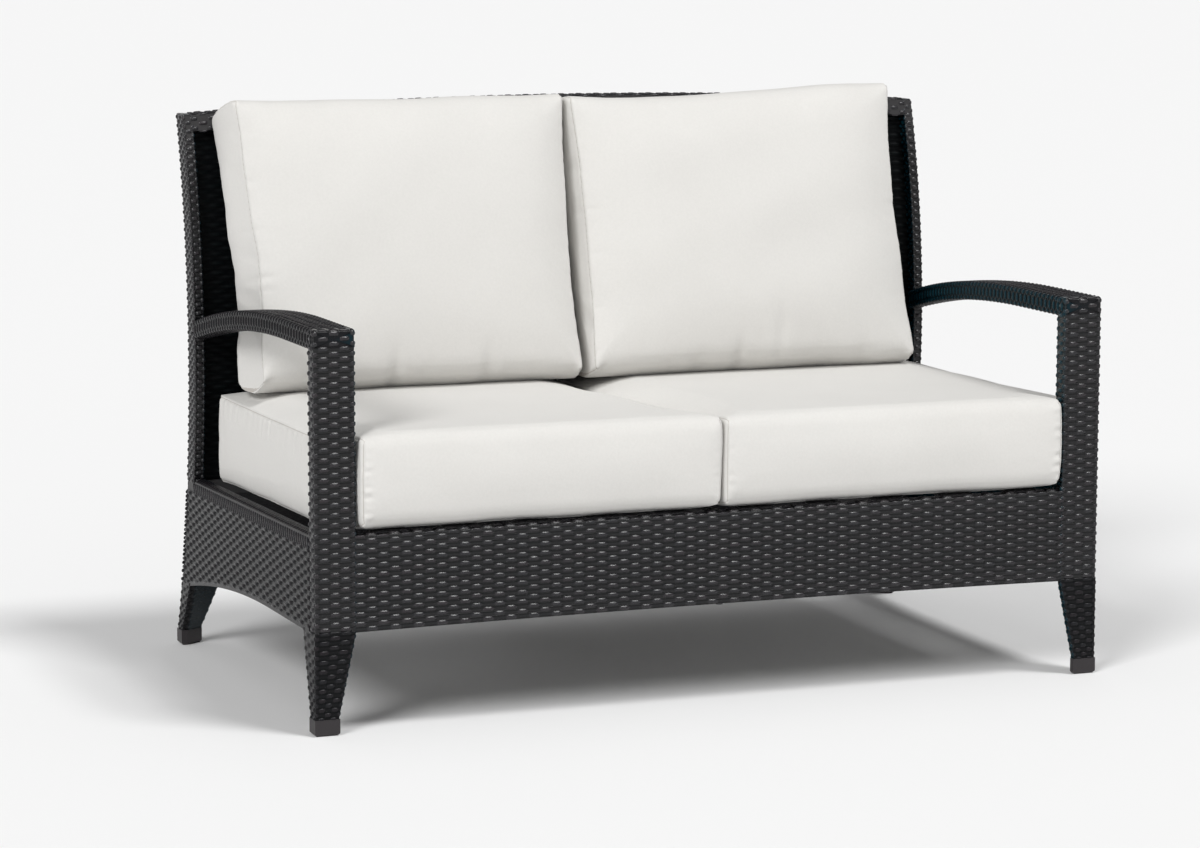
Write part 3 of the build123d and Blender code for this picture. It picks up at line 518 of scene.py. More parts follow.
@dataclass(frozen=True)
class Sweep:
    """A closed section carried along an axis and covered with a weave.

    With the strands round the section, faces gives the stakes on each edge, and each corner is a
    stake. With the strands along the path, woven gives the first and last edge that they cover.
    """

    path: Path
    lay: Lay
    weave: Weave
    radii: tuple[float, ...]
    start: float
    stop: float
    section: Map
    faces: tuple[int, ...] = ()
    woven: tuple[int, int] = (0, 0)
    zero: float = 0.0
    warp: Map | None = None
    fade: Map | None = None
    round_start: bool = False
    round_stop: bool = False
    bare_edge: int | None = None
    slant: float = 0.0
    plain: float = 0.5
    corner_keep: float = 0.45
    corner_run: float = 0.4
    plain_step: float = 40.0
    apart: float = 0.3
    turn: tuple[float, ...] = (0.35, 0.7, 1.0)
    turn_keep: tuple[float, ...] = (0.9, 0.6, 0.2)

    def stations(self) -> tuple[np.ndarray, np.ndarray, np.ndarray]:
        """Path places, each with the share of the radii and the share of the relief it keeps.

        Returns:
            Places, shares of the radii and shares of the relief.
        """
        turned = self.lay is Lay.ROUND
        cell = self.weave.row if turned else self.weave.stake
        shares = self.weave.row_steps if turned else self.weave.stake_steps
        radius = min(self.radii)
        low = self.start + (radius if self.round_start else 0.0)
        high = self.stop - (radius if self.round_stop else 0.0)
        places = lattice(low, high, cell, self.zero, shares)
        shrink, keep = np.ones(len(places)), np.ones(len(places))
        bend = np.array(self.turn) * math.pi / 2
        if self.round_stop:
            places = np.append(places, high + radius * np.sin(bend))
            shrink, keep = np.append(shrink, np.cos(bend)), np.append(keep, self.turn_keep)
        if self.round_start:
            places = np.append((low - radius * np.sin(bend))[::-1], places)
            shrink, keep = np.append(np.cos(bend)[::-1], shrink), np.append(self.turn_keep[::-1], keep)
        return places, np.maximum(shrink, 0.02), keep

    def round_ring(self, outer: np.ndarray, radii: np.ndarray) -> tuple[Ring, np.ndarray, np.ndarray]:
        """Ring for strands round the section, with stake numbers and the relief that it keeps.

        Args:
            outer: Corners in anticlockwise order, one row each.
            radii: Rounding radius of each corner.

        Returns:
            The ring, the stake numbers and the shares of the relief.
        """
        marks = Ring.marks(outer, radii)
        arcs = marks[2::2] - marks[1::2]
        middles = np.append(-arcs[-1] / 2, marks[2::2] - arcs / 2)
        counts = np.append(0.0, np.cumsum(self.faces))
        cells = np.arange(int(counts[-1]))[:, None] + np.array(self.weave.stake_steps)[None]
        stakes = cells.ravel()
        ring = Ring.sample(outer, radii, np.interp(stakes, counts, middles))
        away = np.clip(np.abs(stakes[:, None] - counts).min(1) / self.corner_run, 0.0, 1.0)
        keep = self.corner_keep + (1.0 - self.corner_keep) * away
        if self.bare_edge is not None:
            keep[(ring.corner == self.bare_edge) & (ring.share > 0)] = 0.0
        return ring, stakes, keep

    def long_ring(self, outer: np.ndarray, radii: np.ndarray) -> tuple[Ring, np.ndarray, np.ndarray]:
        """Ring for strands along the path, with row numbers and the relief that it keeps.

        Args:
            outer: Corners in anticlockwise order, one row each.
            radii: Rounding radius of each corner.

        Returns:
            The ring, the row numbers and the shares of the relief.
        """
        marks = Ring.marks(outer, radii)
        total, edges = marks[-1], len(outer)
        first, last = self.woven
        low = marks[2 * first]
        high = marks[2 * (last % edges) + 1] + total * (last // edges)
        count = round((high - low) / self.weave.row)
        cells = np.arange(count)[:, None] + np.array(self.weave.row_steps)[None]
        rows = np.append(cells.ravel(), float(count))
        places = low + rows * (high - low) / count
        turning = np.concatenate([marks, (marks[:-1] + marks[1:]) / 2])
        plain = np.arange(high + self.plain_step, low + total - self.plain_step / 2, self.plain_step)
        turning = np.concatenate([turning, turning + total, plain])
        rest = np.unique(turning[(turning > high + self.apart) & (turning < low + total - self.apart)])
        keep = np.ones(len(places))
        keep[0] = keep[-1] = 0.5
        places, keep = np.append(places, rest), np.append(keep, np.zeros(len(rest)))
        return Ring.sample(outer, radii, places), np.append(rows, np.zeros(len(rest))), keep

    def build(self, name: str) -> Piece:
        """The woven piece.

        A point is the section's point moved outwards by relief times (height - 1) plus a little,
        and only then bent by the warp, so the weave follows every curve.

        Args:
            name: Name of the piece.

        Returns:
            The new object.
        """
        path, shrink, keep_path = self.stations()
        outer, radii = self.section(path), np.array(self.radii)
        middle = outer[len(outer) // 2]
        turned = self.lay is Lay.ROUND
        ring, numbers, keep_ring = (self.round_ring if turned else self.long_ring)(middle, radii)
        flat = ring.points(outer, radii, shrink)
        shape = flat.shape[:2]
        places = np.broadcast_to(path[:, None], shape)
        numbers = np.broadcast_to(numbers[None], shape)
        cell = self.weave.row if turned else self.weave.stake
        steps = (places + self.slant * ring.place[None] - self.zero) / cell
        along, across = (numbers, steps) if turned else (steps, numbers)
        a, b, c = self.path.value
        points = np.empty(shape + (3,))
        points[..., a], points[..., b], points[..., c] = places, flat[..., 0], flat[..., 1]
        keep = keep_path[:, None] * keep_ring[None]
        if self.fade is not None:
            keep = keep * self.fade(points)
        share = self.weave.height(along, across) * keep + self.plain * (1 - keep)
        out = self.weave.relief * (share - 1.0) + self.weave.proud
        flat = flat + out[..., None] * ring.normal[None]
        points[..., b], points[..., c] = flat[..., 0], flat[..., 1]
        if self.warp is not None:
            points = self.warp(points)
        uv = np.stack([np.broadcast_to(ring.place[None], shape), places], -1)
        closing = uv[:, :1].copy()
        closing[..., 0] += Ring.marks(middle, radii)[-1]
        uv = np.concatenate([uv, closing], 1)
        if not turned:
            uv = uv[..., ::-1]
        # Share of each sample that faces inwards, towards the middle; the wicker's colour takes a painted
        # teal reflection by it.
        side = np.sign(points[..., 0].mean()) if self.path is not Path.X else 0.0
        inward = np.clip(-side * ring.normal[:, 0], 0.0, 1.0)
        tone = self.weave.tone(along, across)
        marks = {"relief": share, "tone": tone, "inward_teal_reflection": np.broadcast_to(inward, shape)}
        fans = turned or self.round_start or self.round_stop
        return shell(name, points * MM, uv * MM, marks, fans)


def constant(corners: np.ndarray) -> Map:
    """Section that is the same at every station."""
    return lambda places: np.broadcast_to(corners, (len(places),) + corners.shape)


# ---- finishes ----


BLACK, WHITE = (0.0, 0.0, 0.0), (1.0, 1.0, 1.0)


class Shader:
    """Node tree of one material round its Principled shader."""

    def __init__(self, name: str) -> None:
        """Make the material.

        Args:
            name: Name of the material.
        """
        self.material = bpy.data.materials.new(name)
        self.material.use_nodes = True
        self.tree = self.material.node_tree
        self.surface = self.tree.nodes["Principled BSDF"]

    def add(self, kind: str, **values: object) -> bpy.types.Node:
        """A new node; values set its sockets by name, or its own properties in lower case.

        Args:
            kind: Node type without its ShaderNode prefix.
            **values: Socket values, with underscores for spaces, or node properties.

        Returns:
            The node.
        """
        node = self.tree.nodes.new("ShaderNode" + kind)
        for key, value in values.items():
            socket = node.inputs.get(key.replace("_", " "))
            if key[0].isupper() and socket is not None:
                socket.default_value = value
            else:
                setattr(node, key, value)
        return node

    def grain(self, kind: str, **values: object) -> Socket:
        """Texture that reads the Object coordinates.

        Args:
            kind: Type of its node.
            **values: Properties and inputs of the node.

        Returns:
            Its value.
        """
        node = self.add(kind, **values)
        self.link(self.add("TexCoord").outputs["Object"], node.inputs["Vector"])
        return node.outputs["Fac"]

    def link(self, source: Socket, target: Socket) -> None:
        """Join an output to an input."""
        self.tree.links.new(source, target)

    def mark(self, name: str) -> Socket:
        """Value of a point attribute."""
        return self.add("Attribute", attribute_name=name).outputs["Fac"]

    def feed(self, name: str, source: Socket) -> None:
        """Join an output to a socket of the Principled shader."""
        self.link(source, self.surface.inputs[name])

    def set(self, **values: object) -> None:
        """Set sockets of the Principled shader by name, with underscores for spaces."""
        for key, value in values.items():
            self.surface.inputs[key.replace("_", " ")].default_value = value

    def ramp(self, source: Socket, stops: list[tuple[float, Colour]]) -> Socket:
        """Colour ramp over a source.

        Args:
            source: Value that is looked up.
            stops: Places with their colours.

        Returns:
            The ramp's colour.
        """
        node = self.add("ValToRGB")
        self.link(source, node.inputs["Fac"])
        elements = node.color_ramp.elements
        while len(elements) < len(stops):
            elements.new(0.5)
        for element, (place, colour) in zip(elements, stops):
            element.position = place
            element.color = (*colour, 1.0)
        return node.outputs["Color"]

    def mix(self, factor: Socket, first: object, second: object, mode: str = "MIX") -> Socket:
        """Colour mix of two colours or sockets.

        Args:
            factor: Share of the second.
            first: Colour or socket.
            second: Colour or socket.
            mode: Blend type.

        Returns:
            The mixed colour.
        """
        node = self.add("Mix", data_type="RGBA", blend_type=mode)
        self.link(factor, node.inputs[0])
        for socket, value in ((node.inputs[6], first), (node.inputs[7], second)):
            if isinstance(value, Socket):
                self.link(value, socket)
            else:
                socket.default_value = (*value, 1.0)
        return node.outputs[2]

    def spread(self, source: Socket, low: float, high: float) -> Socket:
        """Map a value from 0..1 to low..high.

        Args:
            source: Value from 0 to 1.
            low: Result at 0.
            high: Result at 1.

        Returns:
            The mapped value.
        """
        node = self.add("MapRange", To_Min=low, To_Max=high)
        self.link(source, node.inputs["Value"])
        return node.outputs["Result"]

    def bump(self, *layers: tuple[Socket, float]) -> None:
        """Stack bump layers, each a height socket and its depth in metres, onto the shader's normal.

        Args:
            *layers: Height sockets with their depths.
        """
        normal = None
        for height, depth in layers:
            node = self.add("Bump", Strength=1.0, Distance=depth)
            self.link(height, node.inputs["Height"])
            if normal is not None:
                self.link(normal, node.inputs["Normal"])
            normal = node.outputs["Normal"]
        self.link(normal, self.surface.inputs["Normal"])


@dataclass(frozen=True)
class Wicker:
    """Espresso resin strand: painted shade darkens the gaps, a painted teal reflection tints the inward
    faces, a faint brown and grey drift, fine grooves along it.
    """

    name: str = "wicker"
    strand: Colour = (0.018, 0.0178, 0.0205)
    # Near-black painted shade for the gaps between strands.
    warm: Colour = (0.023, 0.0175, 0.0205)
    # Teal painted on the inward faces: a painted reflection.
    gap: Colour = (0.001, 0.0015, 0.002)
    inward_teal_reflection: Colour = (0.0005, 0.02, 0.03)
    roughness: float = 0.25
    specular: float = 0.36

    def material(self) -> Material:
        """The finished material.

        Returns:
            The material.
        """
        shader = Shader(self.name)
        blend = shader.add("Math", operation="MULTIPLY")
        shader.link(shader.grain("TexNoise", Scale=22.0, Detail=3.0), blend.inputs[0])
        shader.link(shader.mark("tone"), blend.inputs[1])
        tone = shader.mix(blend.outputs[0], self.strand, self.warm)
        # Painted teal reflection: the colour turns teal on the faces that look inwards.
        tone = shader.mix(shader.mark("inward_teal_reflection"), tone, self.inward_teal_reflection)
        # Painted shade: where the relief is low, between the strands, the colour sinks to the near-black gap
        # colour.
        depth = shader.ramp(shader.mark("relief"), [(0.08, BLACK), (0.7, WHITE)])
        shader.feed("Base Color", shader.mix(depth, self.gap, tone))
        surface = shader.add("UVMap", uv_map="surface").outputs["UV"]
        stretch = shader.add("Mapping", vector_type="POINT")
        stretch.inputs["Scale"].default_value = (60.0, 2600.0, 1.0)
        shader.link(surface, stretch.inputs["Vector"])
        grooves = shader.add("TexNoise", Scale=1.0, Detail=2.0)
        shader.link(stretch.outputs["Vector"], grooves.inputs["Vector"])
        rough = shader.spread(grooves.outputs["Fac"], self.roughness - 0.08, self.roughness + 0.12)
        shader.feed("Roughness", rough)
        shader.bump((grooves.outputs["Fac"], 0.00012))
        shader.set(Specular_IOR_Level=self.specular)
        return shader.material


@dataclass(frozen=True)
class Plastic:
    """Moulded or powder-coated dark surface with a fine orange-peel grain."""

    name: str
    colour: Colour
    roughness: float
    grain: float
    metallic: float = 0.0

    def material(self) -> Material:
        """The finished material.

        Returns:
            The material.
        """
        shader = Shader(self.name)
        drift = shader.grain("TexNoise", Scale=35.0, Detail=4.0)
        lighter = tuple(min(1.0, channel * 1.35) for channel in self.colour)
        shader.feed("Base Color", shader.mix(drift, self.colour, lighter))
        shader.feed("Roughness", shader.spread(drift, self.roughness - 0.06, self.roughness + 0.08))
        shader.bump((shader.grain("TexNoise", Scale=self.grain, Detail=2.0), 0.00008))
        shader.set(Metallic=self.metallic)
        return shader.material


@dataclass(frozen=True)
class Strap:
    """Woven strap of dark yarn: crosswise ribs and lengthwise threads."""

    colour: Colour = (0.022, 0.022, 0.024)
    rib: float = 2200.0

    def material(self) -> Material:
        """The finished material.

        Returns:
            The material.
        """
        shader = Shader("webbing")
        ribs = shader.grain("TexWave", wave_type="BANDS", bands_direction="Y", Scale=self.rib / 6.28)
        cross = shader.grain("TexWave", wave_type="BANDS", bands_direction="X", Scale=self.rib / 9.0)
        light = tuple(channel * 2.2 for channel in self.colour)
        shader.feed("Base Color", shader.mix(ribs, self.colour, light))
        shader.bump((ribs, 0.0003), (cross, 0.0002))
        shader.set(Roughness=0.85)
        return shader.material


@dataclass(frozen=True)
class Cloth:
    """Pale outdoor cloth: fine plain weave, faint slubs and mottling, soft sheen."""

    colour: Colour = (0.68, 0.668, 0.643)
    shade: Colour = (0.64, 0.628, 0.603)
    thread: float = 1100.0
    thread_line: Colour = (0.7, 0.67, 0.64)
    bumps: float = 0.00012

    def material(self) -> Material:
        """The finished material.

        Returns:
            The material.
        """
        shader = Shader("cushion_cloth")
        mottle = shader.grain("TexNoise", Scale=9.0, Detail=5.0, Roughness=0.6)
        slub = shader.grain("TexNoise", Scale=240.0, Detail=2.0)
        threads = shader.grain("TexNoise", Scale=self.thread, Detail=1.0)
        tone = shader.mix(mottle, self.colour, self.shade)
        even = shader.add("Value")
        even.outputs[0].default_value = 1.0
        away = shader.add("Math", operation="ABSOLUTE")
        shader.link(shader.mark("seam"), away.inputs[0])
        fleck = shader.ramp(slub, [(0.3, (0.97, 0.97, 0.97)), (0.7, WHITE)])
        line = shader.ramp(away.outputs[0], [(0.5, self.thread_line), (1.0, WHITE)])
        for layer in (fleck, line):
            tone = shader.mix(even.outputs[0], tone, layer, "MULTIPLY")
        shader.feed("Base Color", tone)
        shader.bump((threads, self.bumps), (slub, self.bumps))
        shader.set(Roughness=0.82, Specular_IOR_Level=0.25, Sheen_Weight=0.18, Sheen_Roughness=0.5)
        return shader.material


@dataclass(frozen=True)
class Wardrobe:
    """Every material of the loveseat, made once."""

    wicker: Material
    dull: Material
    shaded: Material
    tube: Material
    foot: Material
    strap: Material
    bolt: Material
    cloth: Material

    @classmethod
    def make(cls) -> "Wardrobe":
        """Build the materials.

        Returns:
            The wardrobe.
        """
        return cls(
            wicker=Wicker().material(),
            # Darker, less glossy copy of the wicker for the side aprons, side rails, arms and legs; its
            # darker colour is painted shade.
            dull=Wicker(
                "dull_shaded_wicker", (0.012, 0.012, 0.014), (0.016, 0.012, 0.014), specular=0.15
            ).material(),
            # Near-black copy of the wicker: painted shade for the back panel in its recess behind the
            # cushions.
            shaded=Wicker(
                "shaded_wicker", (0.002, 0.0035, 0.004), (0.003, 0.003, 0.0035), roughness=0.5, specular=0.08
            ).material(),
            tube=Plastic("powder_coat", (0.016, 0.015, 0.016), 0.5, 900.0).material(),
            foot=Plastic("moulded_foot", (0.0145, 0.0115, 0.013), 0.42, 1400.0).material(),
            strap=Strap().material(),
            bolt=Plastic("dark_zinc", (0.06, 0.06, 0.065), 0.4, 700.0, 0.8).material(),
            cloth=Cloth().material(),
        )


def dress(piece: Piece, material: Material) -> None:
    """Give a piece its only material."""
    piece.data.materials.clear()
    piece.data.materials.append(material)


# ---- woven frame ----


@dataclass
class WovenPart:
    """A woven piece, the nodes that it stands for, and how it is carried."""

    name: str
    nodes: tuple[str, ...]
    sweep: Sweep
    finish: Finish = Finish.PLAIN

    def make(self, wardrobe: Wardrobe) -> Piece:
        """Build, dress and mount the piece.

        Args:
            wardrobe: The materials.

        Returns:
            The finished piece.
        """
        piece = self.sweep.build(self.name)
        dress(piece, getattr(wardrobe, self.finish.value))
        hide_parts(*self.nodes)
        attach(piece, "frame")
        LOG.info("%s: %d faces", self.name, len(piece.data.polygons))
        return piece


def moved(points: np.ndarray, axis: int, move: np.ndarray) -> np.ndarray:
    """Points moved along one axis, each by its own distance."""
    return points + move[..., None] * np.eye(3)[axis]


def lean_back(points: np.ndarray) -> np.ndarray:
    """Carry depths counted from the rear outline back onto its arc."""
    return moved(points, 1, FRAME.rear_y(points[..., 2]))


def crown_and_lean(points: np.ndarray) -> np.ndarray:
    """Carry heights counted from the crowned top onto it, then lean."""
    return lean_back(moved(points, 2, FRAME.crown_z(points[..., 0])))


def ease(distance: np.ndarray, soft: float) -> np.ndarray:
    """Distance to an edge, kept above zero: points past the edge are pressed against it."""
    return np.where(distance > soft, distance, soft * np.exp((np.minimum(distance, soft) - soft) / soft))


@dataclass(frozen=True)
class Posts:
    """The front posts and the wrapped rear posts."""

    weave: Weave = Weave(parity=1)
    rear_weave: Weave = Weave(row=7.4, relief=3.0)
    radius: float = 4.0
    rear_radius: float = 3.0
    top_corner: float = 8.0
    proud: float = 0.7
    into_apron: float = 1.0
    into_seat: float = 6.0

    def stile_warp(self, points: np.ndarray) -> np.ndarray:
        """Round the upper outer corner seen from the front, then lean.

        Args:
            points: Points of the flat piece, in any shape that ends in three.

        Returns:
            The bent points.
        """
        f = FRAME
        bent = points.copy()
        top = float(f.crown_z(np.array(f.half_width)))
        over_x = np.abs(points[..., 0]) - (f.half_width - self.top_corner)
        over_z = points[..., 2] - (top - self.top_corner)
        reach = np.hypot(np.maximum(over_x, 0), np.maximum(over_z, 0))
        pull = np.minimum(1.0, (self.top_corner + self.proud) / np.maximum(reach, 1e-6))
        inside = (over_x > 0) & (over_z > 0)
        side = np.sign(points[..., 0])
        x = side * (f.half_width - self.top_corner + over_x * pull)
        z = top - self.top_corner + over_z * pull
        bent[..., 0] = np.where(inside, x, points[..., 0])
        bent[..., 2] = np.where(inside, z, points[..., 2])
        return lean_back(bent)

    def parts(self) -> list[WovenPart]:
        """The four woven pieces.

        Returns:
            The pieces.
        """
        f = FRAME
        made = []
        for name, side in SIDES.items():
            inner, outer = side * (f.half_width - f.post_width), side * f.half_width
            front = box((inner, f.front_y), (outer, f.front_y + f.post_depth))
            made.append(
                WovenPart(
                    f"post_{name}",
                    (f"front_post_weave_{name}",),
                    Sweep(
                        Path.Z, Lay.ROUND, self.weave, (self.radius,) * 4, f.apron_bottom - self.into_apron,
                        f.arm_height - 0.6, constant(front), faces=(4, 2, 4, 2),
                        zero=f.arm_height - 3.0, round_stop=True,
                    ),
                )
            )
            near = side * (f.half_width - f.stile_width)
            stile = box((near, -f.stile_depth), (outer, 0.4))
            low = float(f.seat_z(f.rear_y(np.array(f.seat_height), f.stile_depth))) - self.into_seat
            made.append(
                WovenPart(
                    f"rear_post_wrap_{name}",
                    (f"rear_post_weave_{name}",),
                    Sweep(
                        Path.Z, Lay.ROUND, self.rear_weave, (self.rear_radius,) * 4, low,
                        float(f.crown_z(np.array(f.half_width))) - 0.2, constant(stile),
                        faces=(2, 4, 2, 4), warp=self.stile_warp, round_stop=True,
                    ),
                )
            )
        return made


@dataclass(frozen=True)
class TopRail:
    """The wrapped rail along the top of the back, between the rear posts."""

    weave: Weave = Weave(stake=17.0, parity=1)
    overlap: float = 3.0

    def parts(self) -> list[WovenPart]:
        """The one woven piece.

        Returns:
            The piece, in a list.
        """
        f = FRAME
        reach = f.half_width - f.stile_width + self.overlap
        corners = box((-f.stile_depth, -f.top_rail), (-1.5, 0.0))
        sweep = Sweep(
            Path.X, Lay.ALONG, self.weave, (4.0, 3.0, 4.0, 6.0), -reach, reach, constant(corners),
            woven=(2, 4), warp=crown_and_lean,
        )
        return [WovenPart("top_rail_wrap", ("top_rail_weave",), sweep)]


@dataclass(frozen=True)
class BackSheets:
    """The woven rear face in two halves, and the woven panel set back between the posts."""

    thickness: float = 5.0
    radius: float = 2.4
    edge: float = 2.5
    corner: float = 8.0
    below_crown: float = 0.5
    behind_seat: float = 16.0
    into_rail: float = 3.0
    into_posts: float = 2.0
    weave: Weave = Weave(stake_steps=(0.0, 0.34, 0.66), row_steps=(0.0, 0.33, 0.67))

    def rear_warp(self, points: np.ndarray) -> np.ndarray:
        """Stretch shares of the height between the arched lower edge and the crowned top, then lean.

        Args:
            points: Points of the flat piece, in any shape that ends in three.

        Returns:
            The bent points.
        """
        f = FRAME
        bent = points.copy()
        x = points[..., 0]
        low = f.rear_bottom + f.apron_arch * (1 - (x / f.half_width) ** 2)
        span = f.back_height - f.back_crown - f.rear_bottom
        past = np.maximum(np.abs(x) - (f.half_width - self.corner), 0.0)
        drop = self.corner - np.sqrt(np.maximum(self.corner**2 - past**2, 0.0))
        bent[..., 2] = low + points[..., 2] / span * (f.crown_z(x) - self.below_crown - drop - low)
        return lean_back(bent)

    def panel_warp(self, points: np.ndarray) -> np.ndarray:
        """Stretch shares of the height up to the underside of the top rail, then lean.

        Args:
            points: Points of the flat piece, in any shape that ends in three.

        Returns:
            The bent points.
        """
        f = FRAME
        bent = points.copy()
        span = f.back_height - f.back_crown - f.top_rail - f.seat_height
        low = f.seat_height - self.behind_seat
        top = f.crown_z(points[..., 0]) - f.top_rail + self.into_rail
        bent[..., 2] = low + points[..., 2] / span * (top - low)
        return lean_back(bent)

    def parts(self) -> list[WovenPart]:
        """The three woven pieces.

        Returns:
            The pieces.
        """
        f = FRAME
        span = f.back_height - f.back_crown - f.rear_bottom
        rear = box((-self.thickness, 0.0), (0.0, span))
        made = []
        halves = {"left": (-f.half_width + self.edge, 0.0), "right": (0.0, f.half_width - self.edge)}
        for name, (low, high) in halves.items():
            sweep = Sweep(
                Path.X, Lay.ALONG, self.weave, (self.radius,) * 4, low, high, constant(rear),
                woven=(1, 1), warp=self.rear_warp,
            )
            made.append(WovenPart(f"rear_face_{name}", ("rear_weave",), sweep))
        tall = f.back_height - f.back_crown - f.top_rail - f.seat_height
        face = f.recess + f.skin
        panel = box((-face, 0.0), (-face + self.thickness, tall))
        reach = f.half_width - f.stile_width + self.into_posts
        sweep = Sweep(
            Path.X, Lay.ALONG, self.weave, (self.radius,) * 4, -reach, reach, constant(panel),
            woven=(3, 3), warp=self.panel_warp,
        )
        # The recessed panel takes the near-black shaded wicker: painted shade.
        made.append(WovenPart("back_panel", ("back_panel_weave",), sweep, Finish.SHADED))
        return made


@dataclass(frozen=True)
class Arms:
    """The arched arms, wrapped crosswise."""

    weave: Weave = Weave(row=7.4, relief=2.8)
    setback: float = 1.5
    reach: float = 691.0

    def section(self, side: float) -> Map:
        """Corners of an arm at each station: the outer face is straight, the inner one curves.

        Args:
            side: Minus one for the left, one for the right.

        Returns:
            The section.
        """

        def corners(places: np.ndarray) -> np.ndarray:
            """Corners in anticlockwise order, heights counted from the arm's top.

            Args:
                places: Stations along the path.

            Returns:
                Corners, stations by four by two.
            """
            f = FRAME
            inner = f.arm_inner(places)
            outer = np.full_like(inner, f.half_width)
            near, far = (inner, outer) if side > 0 else (-outer, -inner)
            low, high = np.full_like(inner, -f.arm_thickness), np.zeros_like(inner)
            rows = [(near, low), (far, low), (far, high), (near, high)]
            return np.stack([np.stack(pair, -1) for pair in rows], 1)

        return corners

    @staticmethod
    def warp(points: np.ndarray) -> np.ndarray:
        """Carry heights counted from the arm's top onto its arc."""
        return moved(points, 2, FRAME.arm_z(points[..., 1]))

    def parts(self) -> list[WovenPart]:
        """The two woven pieces.

        Returns:
            The pieces.
        """
        start = FRAME.front_y + self.setback
        return [
            WovenPart(
                f"arm_{name}",
                (f"arm_weave_{name}",),
                Sweep(
                    Path.Y, Lay.ROUND, self.weave, (5.0,) * 4, start, FRAME.front_y + self.reach,
                    self.section(side), faces=(4, 2, 4, 2), warp=self.warp, round_start=True,
                ),
                Finish.DULL,
            )
            for name, side in SIDES.items()
        ]


@dataclass(frozen=True)
class Aprons:
    """The front and side aprons and the wrapped rails above them."""

    thickness: float = 6.0
    weave: Weave = Weave(parity=1)
    side_weave: Weave = Weave(stake=19.2, row=7.8)
    wrap: Weave = Weave(row=12.0, relief=4.0, proud=0.6, over_under=False)
    side_drop: float = 20.0
    side_height: float = 196.0
    side_end: float = 790.0
    rail_end: float = 704.0
    border: float = 5.0
    heel: float = 20.0
    front_low: float = 4.0
    side_low: float = 3.0
    into_posts: float = 5.0

    @staticmethod
    def front_warp(points: np.ndarray) -> np.ndarray:
        """Arch the lower edge of the front apron: a height keeps its share up to the top edge.

        Args:
            points: Points of the flat piece, in any shape that ends in three.

        Returns:
            The bent points.
        """
        f = FRAME
        arch = f.apron_arch * (1 - (points[..., 0] / (f.half_width - f.post_width)) ** 2)
        share = (f.seat_height - points[..., 2]) / (f.seat_height - f.apron_bottom)
        return moved(points, 2, arch * np.clip(share, 0.0, 1.0))

    def trim(self, y: np.ndarray) -> np.ndarray:
        """Height of the side apron's lower edge at y, level behind the heel."""
        return FRAME.side_bottom(np.minimum(y, FRAME.front_y + FRAME.depth - self.heel))

    def side_warp(self, points: np.ndarray) -> np.ndarray:
        """Hang the side apron from the pitched seat plane and trim it.

        Heights are counted down from the apron's top. What lies past the curved lower edge, or
        behind the rear outline, is pressed against it.

        Args:
            points: Points of the flat piece, in any shape that ends in three.

        Returns:
            The bent points.
        """
        f = FRAME
        bent = points.copy()
        y = points[..., 1]
        top = f.seat_z(y) - self.side_drop
        low = self.trim(y) - self.side_low
        z = low + ease(top + points[..., 2] - low, self.border * 0.5)
        rear = f.rear_y(z, 0.6)
        bent[..., 1] = rear - ease(rear - y, 3.0)
        bent[..., 2] = z
        return bent

    def side_fade(self, points: np.ndarray) -> np.ndarray:
        """Relief of the side apron: none on the border along the lower edge.

        Args:
            points: Points of the flat piece, in any shape that ends in three.

        Returns:
            Shares of the relief.
        """
        y = points[..., 1]
        above = FRAME.seat_z(y) - self.side_drop + points[..., 2] - self.trim(y)
        return np.clip((above - self.border * 0.6) / 2.0, 0.0, 1.0)

    @staticmethod
    def pitch(points: np.ndarray) -> np.ndarray:
        """Carry heights counted from the seat plane onto it."""
        return moved(points, 2, FRAME.seat_z(points[..., 1]))

    def front(self) -> WovenPart:
        """Front apron and the rail above it in one: an L with its foot to the back at the top.

        Returns:
            The piece.
        """
        f = FRAME
        inner = f.half_width - f.post_width
        y0, y1, y2 = f.front_y, f.front_y + self.thickness, f.front_y + f.post_depth
        low, step, top = f.apron_bottom - self.front_low, f.seat_height - f.post_depth, f.seat_height - 0.3
        corners = np.array([(y0, low), (y1, low), (y1, step), (y2, step), (y2, top), (y0, top)])
        sweep = Sweep(
            Path.X, Lay.ALONG, self.weave, (2.4, 2.4, 1.0, 3.0, 5.0, 6.0), -inner - self.into_posts,
            inner + self.into_posts, constant(corners), woven=(4, 5), zero=-inner + 5.5, warp=self.front_warp,
        )
        return WovenPart("front_apron", ("front_apron_weave", "front_rail_weave"), sweep)

    def parts(self) -> list[WovenPart]:
        """The woven pieces of the aprons and their rails.

        Returns:
            The pieces.
        """
        f = FRAME
        made = [self.front()]
        for name, side in SIDES.items():
            outer = side * f.half_width
            panel = box((outer, -self.side_height), (outer - side * self.thickness, 0.0))
            face = 1 if side > 0 else 3
            made.append(
                WovenPart(
                    f"side_apron_{name}",
                    (f"side_apron_weave_{name}",),
                    Sweep(
                        Path.Y, Lay.ALONG, self.side_weave, (2.4,) * 4, f.front_y + f.post_depth - 2.0,
                        f.front_y + self.side_end, constant(panel), woven=(face, face),
                        zero=f.front_y + f.post_depth + 6.0, warp=self.side_warp, fade=self.side_fade,
                    ),
                    Finish.DULL,
                )
            )
            low = side * (f.half_width - f.post_depth)
            tube = box((low, -f.post_depth), (outer - side * 0.8, 0.0))
            made.append(
                WovenPart(
                    f"side_rail_wrap_{name}",
                    (f"side_rail_weave_{name}",),
                    Sweep(
                        Path.Y, Lay.ROUND, self.wrap, (12.0,) * 4, f.front_y + f.post_depth - 1.0,
                        f.front_y + self.rail_end, constant(tube), faces=(2, 2, 2, 2),
                        warp=self.pitch, slant=0.4,
                    ),
                    Finish.DULL,
                )
            )
        return made


